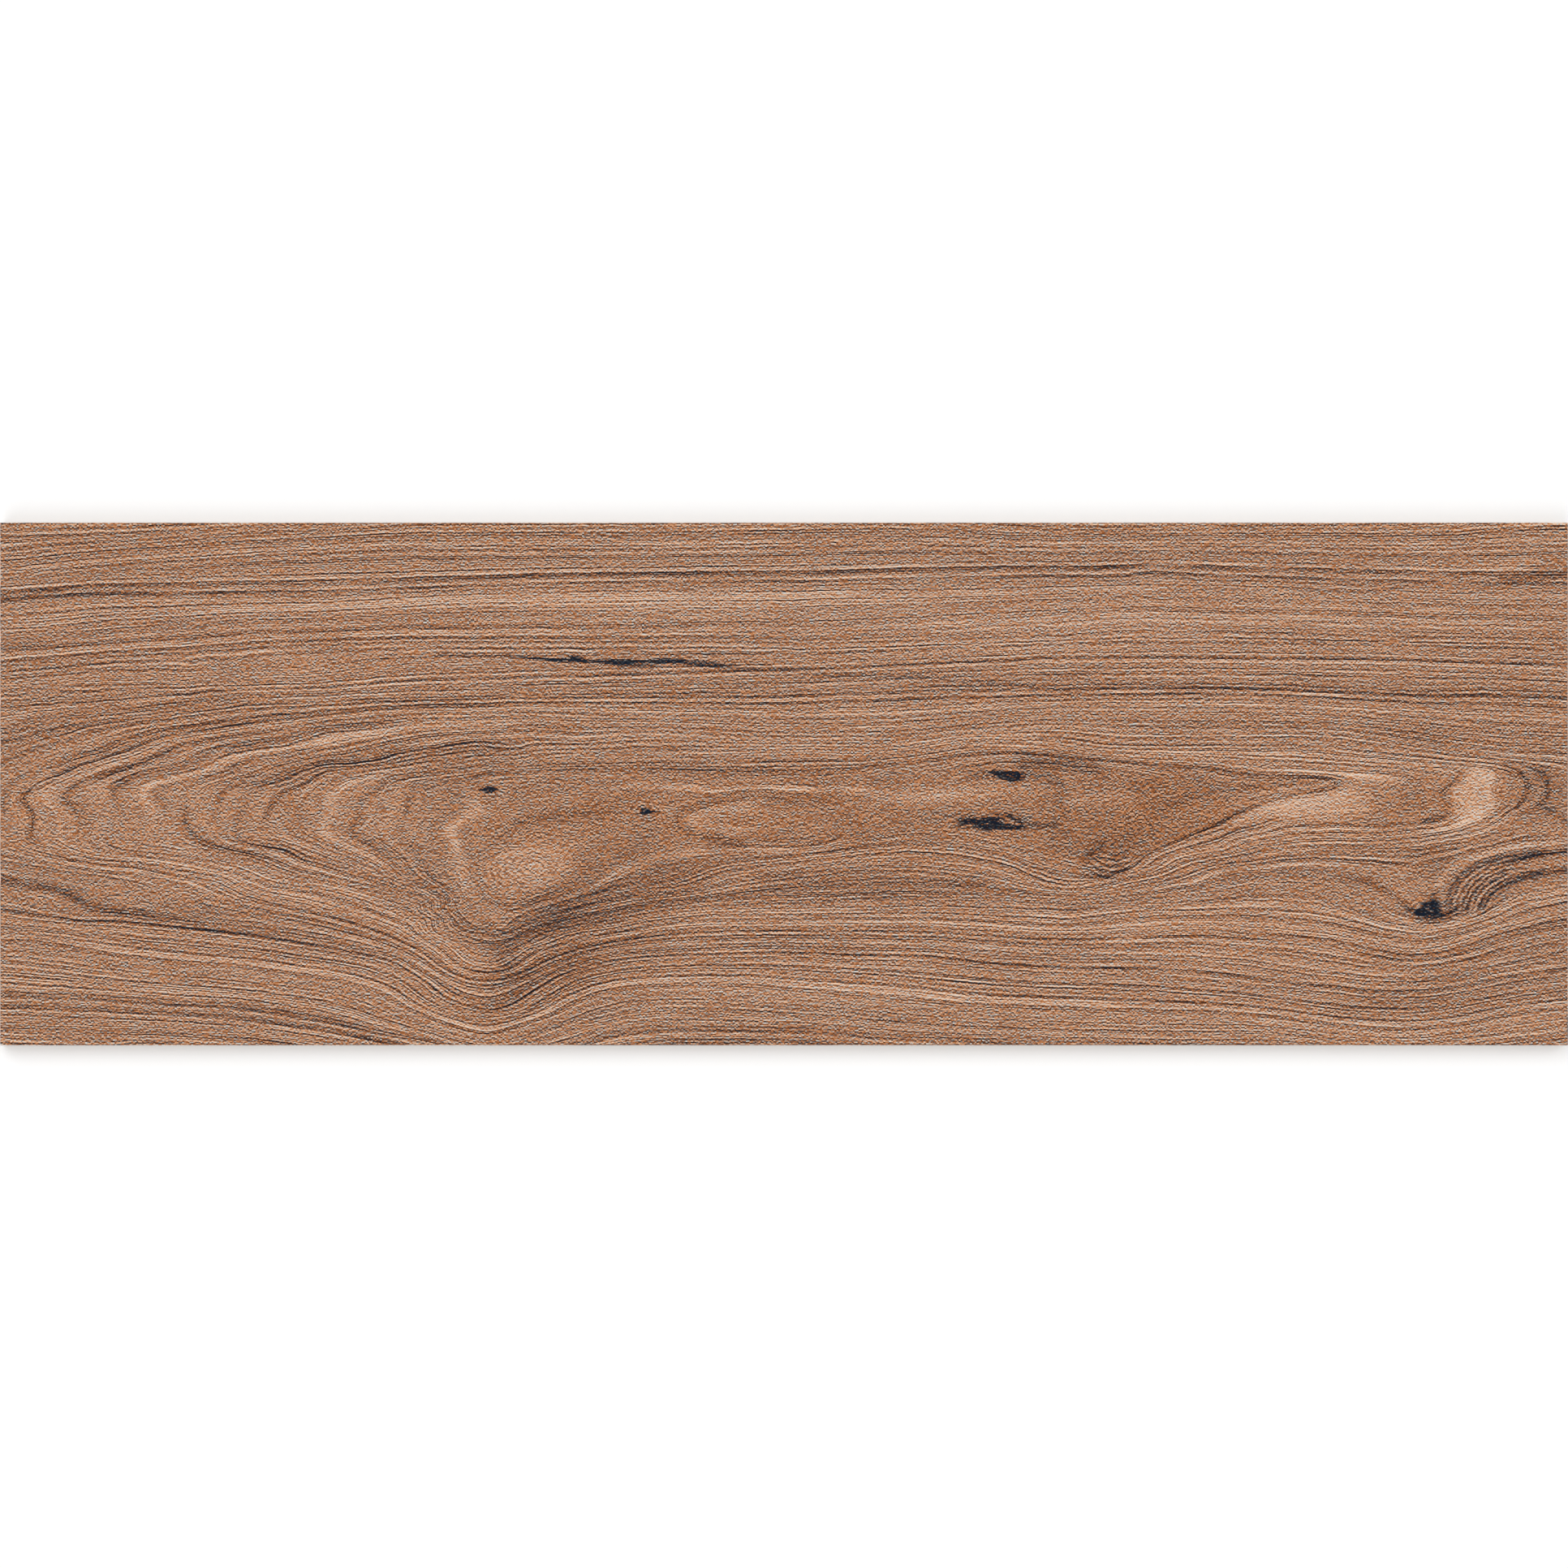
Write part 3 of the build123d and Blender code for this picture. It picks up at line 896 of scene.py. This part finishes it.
    def _specks(self, tree: bpy.types.NodeTree, place: Any, stir: Any) -> tuple[Any, Any]:
        """Sprinkles the specks, each set off from those above and below it.

        Args:
            tree: the material's nodes.
            place: where a point is on the tile, in millimetres.
            stir: a slow chance number that makes their rows wander.

        Returns:
            Two chance numbers about zero, for the speck's lightness and for its warmth.
        """
        sway = add(tree, "ShaderNodeMath", {0: stir, 1: self.speck_sway_mm}, operation="MULTIPLY")
        sway = add(tree, "ShaderNodeCombineXYZ", {1: sway})
        swayed = add(tree, "ShaderNodeVectorMath", {0: place, 1: sway}, operation="ADD")
        speck: Any = (0.0, 0.0, 0.0)
        beside = -self.speck_contrast / 2
        for rows_up, share in ((0, 1.0), (1, beside), (-1, beside)):
            inks = self._bricks(tree, swayed, rows_up)
            speck = add(tree, "ShaderNodeVectorMath", {0: inks, 1: (share, share, share), 2: speck},
                        operation="MULTIPLY_ADD")
        split = add(tree, "ShaderNodeSeparateXYZ", {0: speck}).node
        return split.outputs[0], split.outputs[1]

    def _bricks(self, tree: bpy.types.NodeTree, place: Any, rows_up: int) -> Any:
        """Sets the specks in rows, each row pushed along by its own amount.

        Args:
            tree: the material's nodes.
            place: where a point is on the tile, in millimetres.
            rows_up: how many rows above the point to look.

        Returns:
            Three chance numbers about zero for the speck.
        """
        length, height = self.speck_mm
        far = 1e6  # a step so long that of a direction only its sign is left
        place = add(tree, "ShaderNodeVectorMath", {0: place, 1: (0, rows_up * height, 0)}, operation="ADD")
        row = add(tree, "ShaderNodeVectorMath", {0: place, 1: (far, height, far)}, operation="SNAP")
        push = add(tree, "ShaderNodeTexWhiteNoise", {"Vector": row})
        push = add(tree, "ShaderNodeCombineXYZ", {0: push})
        brick = add(tree, "ShaderNodeVectorMath", {0: place, 1: push}, operation="ADD")
        brick = add(tree, "ShaderNodeVectorMath", {0: brick, 1: (length, height, far)}, operation="SNAP")
        inks = add(tree, "ShaderNodeTexWhiteNoise", {"Vector": brick}, out="Color")
        return add(tree, "ShaderNodeVectorMath", {0: inks, 1: (0.5, 0.5, 0.5)}, operation="SUBTRACT")

    def _fibres(self, tree: bpy.types.NodeTree, ring: Any, spread: Any) -> Any:
        """Draws the fibres, as many to a ring as its width has room for.

        Three sets of lines, each twice as fine as the last, are blended as a ring grows wider.

        Args:
            tree: the material's nodes.
            ring: the ring's number.
            spread: millimetres from one ring to the next.

        Returns:
            How much lighter or darker the fibres make a point.
        """
        room = add(tree, "ShaderNodeMath", {0: spread, 1: self.fibre_mm}, operation="DIVIDE")
        doublings = add(tree, "ShaderNodeMath", {0: room, 1: 2.0}, operation="LOGARITHM")
        whole = add(tree, "ShaderNodeMath", {0: doublings}, operation="FLOOR")
        finer = add(tree, "ShaderNodeMath", {0: doublings, 1: whole}, operation="SUBTRACT")
        count = add(tree, "ShaderNodeMath", {0: 2.0, 1: whole}, operation="POWER")
        turn = add(tree, "ShaderNodeMath", {0: ring, 1: count}, operation="MULTIPLY")
        lines = []
        for size in (0.5, 1.0, 2.0):
            count = add(tree, "ShaderNodeMath", {0: turn, 1: size}, operation="MULTIPLY")
            lines.append(add(tree, "ShaderNodeTexNoise", {"W": count, "Scale": 1.0, "Detail": 0.0},
                             noise_dimensions="1D"))
        blend = add(tree, "ShaderNodeMix", {0: finer, 2: lines[0], 3: lines[2]}, data_type="FLOAT")
        swing = add(tree, "ShaderNodeMath", {0: blend, 1: lines[1]}, operation="ADD")
        swing = add(tree, "ShaderNodeMath", {0: swing, 1: 1.0}, operation="SUBTRACT")
        swing = add(tree, "ShaderNodeClamp", {
            "Value": swing, "Min": -self.fibre_limit, "Max": self.fibre_limit})
        narrow, wide = self.fibre_spread_mm
        clear = add(tree, "ShaderNodeMapRange", {
            "Value": spread, "From Min": narrow, "From Max": wide, "To Min": self.fibre_clear[0],
            "To Max": self.fibre_clear[1]})
        return add(tree, "ShaderNodeMath", {0: swing, 1: clear}, operation="MULTIPLY")

    def _knots(self, tree: bpy.types.NodeTree, place: Any, figure: WoodFigure) -> Any:
        """Draws the black knots and the crack.

        Args:
            tree: the material's nodes.
            place: where a point is on the tile, in millimetres.
            figure: the wood figure that turns pixels into sizes.

        Returns:
            How black a point is, from 0 to 1.
        """
        rough = add(tree, "ShaderNodeVectorMath", {0: place, 1: (1 / self.ragged_stretch, 1.0, 1.0)},
                    operation="MULTIPLY")
        rough = add(tree, "ShaderNodeTexNoise", {"Vector": rough, "Scale": 1.0, "Detail": 1.0}, out="Color")
        rough = add(tree, "ShaderNodeVectorMath", {0: rough, 1: (0.5, 0.5, 0.5)}, operation="SUBTRACT")
        rough = add(tree, "ShaderNodeVectorMath", {0: rough, 1: (*self.ragged_mm, 0)}, operation="MULTIPLY")
        ragged = add(tree, "ShaderNodeVectorMath", {0: place, 1: rough}, operation="ADD")
        black: Any = 0.0
        begins, full = self.knot_rim
        for knot in KNOTS:
            inside = self._oval(tree, ragged, figure, knot.middle, knot.radii, knot.tilt)
            inside = add(tree, "ShaderNodeMapRange", {
                "Value": inside, "From Min": begins, "From Max": full, "To Max": knot.blackness},
                interpolation_type="SMOOTHSTEP")
            black = add(tree, "ShaderNodeMath", {0: inside, 1: black}, operation="ADD", use_clamp=True)
        return black

    def _swirls(self, tree: bpy.types.NodeTree, place: Any, figure: WoodFigure) -> Any:
        """Draws the fine curved lines about the knots.

        Args:
            tree: the material's nodes.
            place: where a point is on the tile, in millimetres.
            figure: the wood figure that turns pixels into sizes.

        Returns:
            How much lighter or darker the lines make a point.
        """
        stir = add(tree, "ShaderNodeTexNoise", {
            "Vector": place, "Scale": self.swirl_waves_per_mm, "Detail": 1.0})
        swing: Any = 0.0
        begins, full = self.swirl_rim
        for swirl in SWIRLS:
            pitches = (swirl.pitch, swirl.pitch * swirl.squash)
            turn = self._oval(tree, place, figure, swirl.middle, pitches, 0)
            turn = add(tree, "ShaderNodeMath", {0: stir, 1: self.swirl_wobble, 2: turn},
                       operation="MULTIPLY_ADD")
            turn = add(tree, "ShaderNodeMath", {0: turn, 1: math.tau}, operation="MULTIPLY")
            line = add(tree, "ShaderNodeMath", {0: turn}, operation="SINE")
            seen = self._oval(tree, place, figure, swirl.seen_middle, swirl.seen_radii, swirl.seen_tilt)
            seen = add(tree, "ShaderNodeMapRange", {
                "Value": seen, "From Min": begins, "From Max": full, "To Max": swirl.depth},
                interpolation_type="SMOOTHSTEP")
            swing = add(tree, "ShaderNodeMath", {0: line, 1: seen, 2: swing}, operation="MULTIPLY_ADD")
        return swing

    @staticmethod
    def _oval(tree: bpy.types.NodeTree, place: Any, figure: WoodFigure, middle: Point, radii: Pair,
              tilt: float) -> Any:
        """Measures how far a point is from the middle of an oval.

        Args:
            tree: the material's nodes.
            place: where a point is on the tile, in millimetres.
            figure: the wood figure that turns pixels into sizes.
            middle: the oval's middle, in pixels.
            radii: its radii, in pixels.
            tilt: its tilt, in degrees.

        Returns:
            The distance, in radii of the oval.
        """
        pixel = figure.pixel_mm
        inside = add(tree, "ShaderNodeMapping", {
            "Vector": place,
            "Location": ((middle[0] - PHOTO_SIDE / 2) * pixel, (PHOTO_SIDE / 2 - middle[1]) * pixel, 0),
            "Rotation": (0, 0, math.radians(tilt)),
            "Scale": (radii[0] * pixel, radii[1] * pixel, 1)}, vector_type="TEXTURE")
        return add(tree, "ShaderNodeVectorMath", {0: inside}, out="Value", operation="LENGTH")


@dataclass(frozen=True)
class FiredStoneware:
    """Bare stoneware body, dust-pressed and fired until it is dense.

    The clay burns to a matt grey-beige with darker iron specks. A ground edge keeps the wheel's fine lines,
    and the back keeps a thin chalky wash that stops it sticking in the kiln.
    """

    name: str
    body: str = "#B39C86"
    speck: str = "#6B5444"
    wash: str = "#D8CEC0"
    wash_cover: float = 0.0  # how much of the clay the wash hides where it is thickest
    wash_thin: float = 0.4  # how much of that is left where it is thinnest
    roughness: float = 0.85
    ior: float = 1.52
    speck_mm: float = 0.7
    speck_band: Pair = (0.58, 0.72)  # which chance numbers turn to specks, from their edge to their middle
    speck_cover: float = 0.8
    cloud_mm: float = 14.0
    cloud_band: Pair = (0.35, 0.65)  # chance numbers from the thinnest wash to the thickest
    line_mm: Pair = (50.0, 0.6)  # length and spacing of the wheel's lines, coarser than real ones to show
    line_depth_mm: float = 0.02
    grit_share: float = 0.5  # height of the grit, as a share of the lines'
    bump: float = 0.6

    def material(self) -> bpy.types.Material:
        """Mixes the fired clay.

        Returns:
            The material.
        """
        material = new_material(self.name)
        tree = material.node_tree
        metres = add(tree, "ShaderNodeTexCoord", out="Object")
        place = add(tree, "ShaderNodeVectorMath", {0: metres, "Scale": 1 / MM}, operation="SCALE")
        grain = add(tree, "ShaderNodeVectorMath", {0: place, "Scale": 1 / self.speck_mm}, operation="SCALE")
        grain = add(tree, "ShaderNodeTexNoise", {"Vector": grain, "Scale": 1.0, "Detail": 2.0})
        edge, middle = self.speck_band
        specks = add(tree, "ShaderNodeMapRange", {
            "Value": grain, "From Min": edge, "From Max": middle, "To Max": self.speck_cover})
        clay = add(tree, "ShaderNodeMix", {0: specks, 6: linear(self.body), 7: linear(self.speck)}, out=2,
                   data_type="RGBA")
        cloud = add(tree, "ShaderNodeVectorMath", {0: place, "Scale": 1 / self.cloud_mm}, operation="SCALE")
        cloud = add(tree, "ShaderNodeTexNoise", {"Vector": cloud, "Scale": 1.0, "Detail": 3.0})
        thin, thick = self.cloud_band
        cover = add(tree, "ShaderNodeMapRange", {
            "Value": cloud, "From Min": thin, "From Max": thick, "To Min": self.wash_thin * self.wash_cover,
            "To Max": self.wash_cover})
        clay = add(tree, "ShaderNodeMix", {0: cover, 6: clay, 7: linear(self.wash)}, out=2, data_type="RGBA")
        length, spacing = self.line_mm
        lines = add(tree, "ShaderNodeVectorMath", {0: place, 1: (1 / length, 1 / length, 1 / spacing)},
                    operation="MULTIPLY")
        lines = add(tree, "ShaderNodeTexNoise", {"Vector": lines, "Scale": 1.0, "Detail": 2.0})
        height = add(tree, "ShaderNodeMath", {0: grain, 1: self.grit_share, 2: lines},
                     operation="MULTIPLY_ADD")
        bump = add(tree, "ShaderNodeBump", {
            "Height": height, "Strength": self.bump, "Distance": self.line_depth_mm * MM})
        shader = add(tree, "ShaderNodeBsdfPrincipled", {
            "Base Color": clay, "Roughness": self.roughness, "IOR": self.ior, "Normal": bump})
        add(tree, "ShaderNodeOutputMaterial", {"Surface": shader})
        return material


@dataclass(frozen=True)
class PlankTile:
    """The tile: the pressed body with its keyed back, and a face that carries the figure in fine relief."""

    node: str = "tile"
    piece_name: str = "glazed_tile"
    columns: int = 400  # cells of the face along the tile
    rows: int = 222  # cells of the face across the tile
    grain_depth: float = 0.10 * MM  # how deep the darkest grain lines are pressed
    knot_depth: float = 0.25 * MM  # how deep the knots and the crack are pressed
    full_groove: float = 0.3  # darkness from which a grain line is pressed to its full depth
    plain_rim: float = 2 * MM  # width at the rim of the face over which the relief fades out
    level: float = 0.3  # a face whose normal rises more than this is part of the top
    back_relief: float = 2 * MM  # upright walls that end below this height belong to the back
    weld: float = 0.001 * MM  # points nearer than this are one point

    def build(self) -> bpy.types.Object:
        """Builds the mesh, presses the relief into it and dresses it.

        Returns:
            The finished piece.
        """
        low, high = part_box(self.node)
        figure = WoodFigure(length=high[0] - low[0])
        mesh = self._body(low[2], high[2])
        self._press(mesh, figure, high[2])
        piece = bpy.data.objects.new(self.piece_name, mesh)
        bpy.context.scene.collection.objects.link(piece)
        self._dress(piece, figure)
        return piece

    def _body(self, bottom: float, top: float) -> bpy.types.Mesh:
        """Takes the pressed body and gives it a face of small cells.

        Args:
            bottom: height of the back's ribs.
            top: height of the glazed face.

        Returns:
            A closed mesh with its faces sorted into the three surfaces.
        """
        shape = bmesh.new()
        shape.from_mesh(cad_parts[self.node].data)
        bmesh.ops.remove_doubles(shape, verts=shape.verts, dist=self.weld)
        rim = [v.co.copy() for v in shape.verts if abs(v.co.z - top) < self.weld]
        right = max(v.x for v in rim)
        rear = max(v.y for v in rim)
        arris = max(v.co.x for v in shape.verts) - right
        shoulder = top - arris
        plain = [f for f in shape.faces if min(v.co.z for v in f.verts) > shoulder - self.weld]
        bmesh.ops.delete(shape, geom=plain, context="FACES")
        grid = [[shape.verts.new((x, y, top)) for x in np.linspace(-right, right, self.columns + 1)]
                for y in np.linspace(-rear, rear, self.rows + 1)]
        for front, back in zip(grid, grid[1:]):
            for a, b, c, d in zip(front, front[1:], back[1:], back):
                shape.faces.new((a, b, c, d)).smooth = True
        corner = {(v.co.x > 0, v.co.y > 0): v for v in shape.verts if abs(v.co.z - shoulder) < self.weld}
        left_cells = [row[0] for row in grid]
        right_cells = [row[-1] for row in grid]
        shape.faces.new([corner[False, False], corner[True, False]] + grid[0][::-1])
        shape.faces.new([corner[True, True], corner[False, True]] + grid[-1])
        shape.faces.new([corner[False, True], corner[False, False]] + left_cells)
        shape.faces.new([corner[True, False], corner[True, True]] + right_cells[::-1])
        bmesh.ops.recalc_face_normals(shape, faces=shape.faces)
        for face in shape.faces:
            face.material_index = self._skin(face, bottom).value
        mesh = bpy.data.meshes.new(self.piece_name)
        shape.to_mesh(mesh)
        shape.free()
        return mesh

    def _skin(self, face: bmesh.types.BMFace, bottom: float) -> Skin:
        """Which of the tile's surfaces a face belongs to.

        Args:
            face: the face.
            bottom: height of the back's ribs.

        Returns:
            Its surface.
        """
        if face.normal.z > self.level:
            return Skin.FACE
        upright = abs(face.normal.z) < self.level
        rise = max(v.co.z for v in face.verts) - bottom
        return Skin.EDGE if upright and rise > self.back_relief else Skin.BACK

    def _press(self, mesh: bpy.types.Mesh, figure: WoodFigure, top: float) -> None:
        """Presses the figure's relief into the face and stores its layers on the mesh.

        Args:
            mesh: the tile's mesh.
            figure: the wood figure.
            top: height of the glazed face.
        """
        places = np.empty(len(mesh.vertices) * 3, dtype=np.float32)
        mesh.vertices.foreach_get("co", places)
        places = places.reshape(-1, 3)
        x = places[:, 0].astype(float)
        y = places[:, 1].astype(float)
        layers = figure.layers(x, y)
        for kind, values in layers.items():
            layer = mesh.attributes.new(kind.value, "FLOAT", "POINT")
            layer.data.foreach_set("value", values.astype(np.float32))
        on_face = places[:, 2] > top - self.weld
        right = x[on_face].max()
        rear = y[on_face].max()
        inset = np.minimum(right - np.abs(x), rear - np.abs(y))
        fade = np.clip(inset / self.plain_rim, 0, 1) * on_face
        dark = -layers[Layer.LINE] - layers[Layer.SHADE]
        grooves = np.clip(dark / self.full_groove, 0, 1) * self.grain_depth
        holes = figure.sunk(x, y) * self.knot_depth
        places[:, 2] -= (fade * np.maximum(grooves, holes)).astype(np.float32)
        mesh.vertices.foreach_set("co", places.ravel())
        mesh.update()

    def _dress(self, piece: bpy.types.Object, figure: WoodFigure) -> None:
        """Gives the piece its finishes and its place in the frame.

        Args:
            piece: the tile.
            figure: the wood figure on its face.
        """
        finishes = {
            Skin.FACE: PrintedGlaze().material(figure),
            Skin.EDGE: FiredStoneware("ground_stoneware_edge").material(),
            Skin.BACK: FiredStoneware("washed_stoneware_back", wash_cover=0.55).material(),
        }
        for skin in Skin:
            piece.data.materials.append(finishes[skin])
        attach(piece, "root")
        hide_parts(self.node)


@dataclass(frozen=True)
class Lamp:
    """A broad soft lamp, so far off that its light is even all over the tile."""

    name: str
    azimuth: float  # degrees, from the right end towards the rear
    elevation: float  # degrees
    strength: float
    breadth: float = 50.0  # degrees that the lamp spans


@dataclass(frozen=True)
class Studio:
    """A pale floor, soft light at a plain level and the camera over the tile."""

    floor_side: float = 12.0
    floor_drop: float = 0.05 * MM  # keeps the floor just clear of the tile's back
    floor_colour: str = "#F2F2F2"
    floor_glow: float = 0.16  # lifts the lit floor to the white of the background
    background: str = "#FFFFFF"
    ambient: float = 0.30
    lens: float = 135.0
    sensor: float = 36.0
    lamps: tuple[Lamp, ...] = (
        Lamp("key_lamp", 125, 52, 1.15),
        Lamp("fill_lamp", 20, 50, 0.85),
        Lamp("front_lamp", 250, 48, 0.85),
    )

    def build(self) -> None:
        """Sets up the floor, the light and the camera."""
        low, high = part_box("tile")
        self._floor(low[2])
        self._light()
        self._camera(high[0] - low[0], high[2])
        bpy.context.scene.view_settings.view_transform = "Standard"

    def _seen(self, tree: bpy.types.NodeTree) -> Any:
        """Tells light that is seen, straight or by a reflection, from light that falls on the tile.

        Args:
            tree: the nodes of the floor or of the world.

        Returns:
            1 for light that is seen, and 0 for the rest.
        """
        path = add(tree, "ShaderNodeLightPath", out="Is Camera Ray").node
        seen = path.outputs["Is Camera Ray"]
        for kind in ("Is Glossy Ray", "Is Transmission Ray"):
            seen = add(tree, "ShaderNodeMath", {0: seen, 1: path.outputs[kind]}, operation="MAXIMUM")
        return seen

    def _floor(self, height: float) -> None:
        """Lays the floor.

        Args:
            height: height of the tile's back.
        """
        side = self.floor_side / 2
        mesh = bpy.data.meshes.new("floor")
        corners = [(-side, -side, 0), (side, -side, 0), (side, side, 0), (-side, side, 0)]
        mesh.from_pydata(corners, [], [(0, 1, 2, 3)])
        floor = bpy.data.objects.new("floor", mesh)
        floor.location.z = height - self.floor_drop
        bpy.context.scene.collection.objects.link(floor)
        # Matt paper, rolled with no coat, scatters light evenly, so it shows only the tile's soft shadow
        material = new_material("matt_white_paper")
        tree = material.node_tree
        paper = add(tree, "ShaderNodeBsdfDiffuse", {"Color": linear(self.floor_colour)})
        glow = add(tree, "ShaderNodeEmission", {
            "Color": linear(self.background), "Strength": self.floor_glow})
        lifted = add(tree, "ShaderNodeAddShader", {0: paper, 1: glow})
        shown = add(tree, "ShaderNodeMixShader", {0: self._seen(tree), 1: paper, 2: lifted})
        add(tree, "ShaderNodeOutputMaterial", {"Surface": shown})
        mesh.materials.append(material)

    def _light(self) -> None:
        """Hangs the lamps and lights the world, which shows white to the camera."""
        for lamp in self.lamps:
            light = bpy.data.lights.new(lamp.name, "SUN")
            light.energy = lamp.strength
            light.angle = math.radians(lamp.breadth)
            holder = bpy.data.objects.new(lamp.name, light)
            tip = math.radians(90 - lamp.elevation)
            holder.rotation_euler = (0, tip, math.radians(lamp.azimuth))
            bpy.context.scene.collection.objects.link(holder)
        world = bpy.data.worlds.new("studio")
        bpy.context.scene.world = world
        world.use_nodes = True
        tree = world.node_tree
        tree.nodes.clear()
        soft = add(tree, "ShaderNodeBackground", {"Color": linear(self.background), "Strength": self.ambient})
        white = add(tree, "ShaderNodeBackground", {"Color": linear(self.background), "Strength": 1.0})
        shown = add(tree, "ShaderNodeMixShader", {0: self._seen(tree), 1: soft, 2: white})
        add(tree, "ShaderNodeOutputWorld", {"Surface": shown})

    def _camera(self, span: float, height: float) -> None:
        """Hangs the camera straight over the tile, so that the tile's length fills the picture.

        Args:
            span: the tile's length.
            height: height of its face.
        """
        camera = bpy.data.cameras.new("camera")
        camera.lens = self.lens
        camera.sensor_width = self.sensor
        holder = bpy.data.objects.new("camera", camera)
        holder.location = (0, 0, height + span * self.lens / self.sensor)
        bpy.context.scene.collection.objects.link(holder)
        bpy.context.scene.camera = holder


def main() -> None:
    """Builds the tile and the studio."""
    tile = PlankTile().build()
    log.info("%s: %d faces", tile.name, len(tile.data.polygons))
    Studio().build()
    log.info("studio: floor, lamps and camera")


if __name__ == "__main__":
    logging.basicConfig(level=logging.INFO, format="%(message)s")
    main()
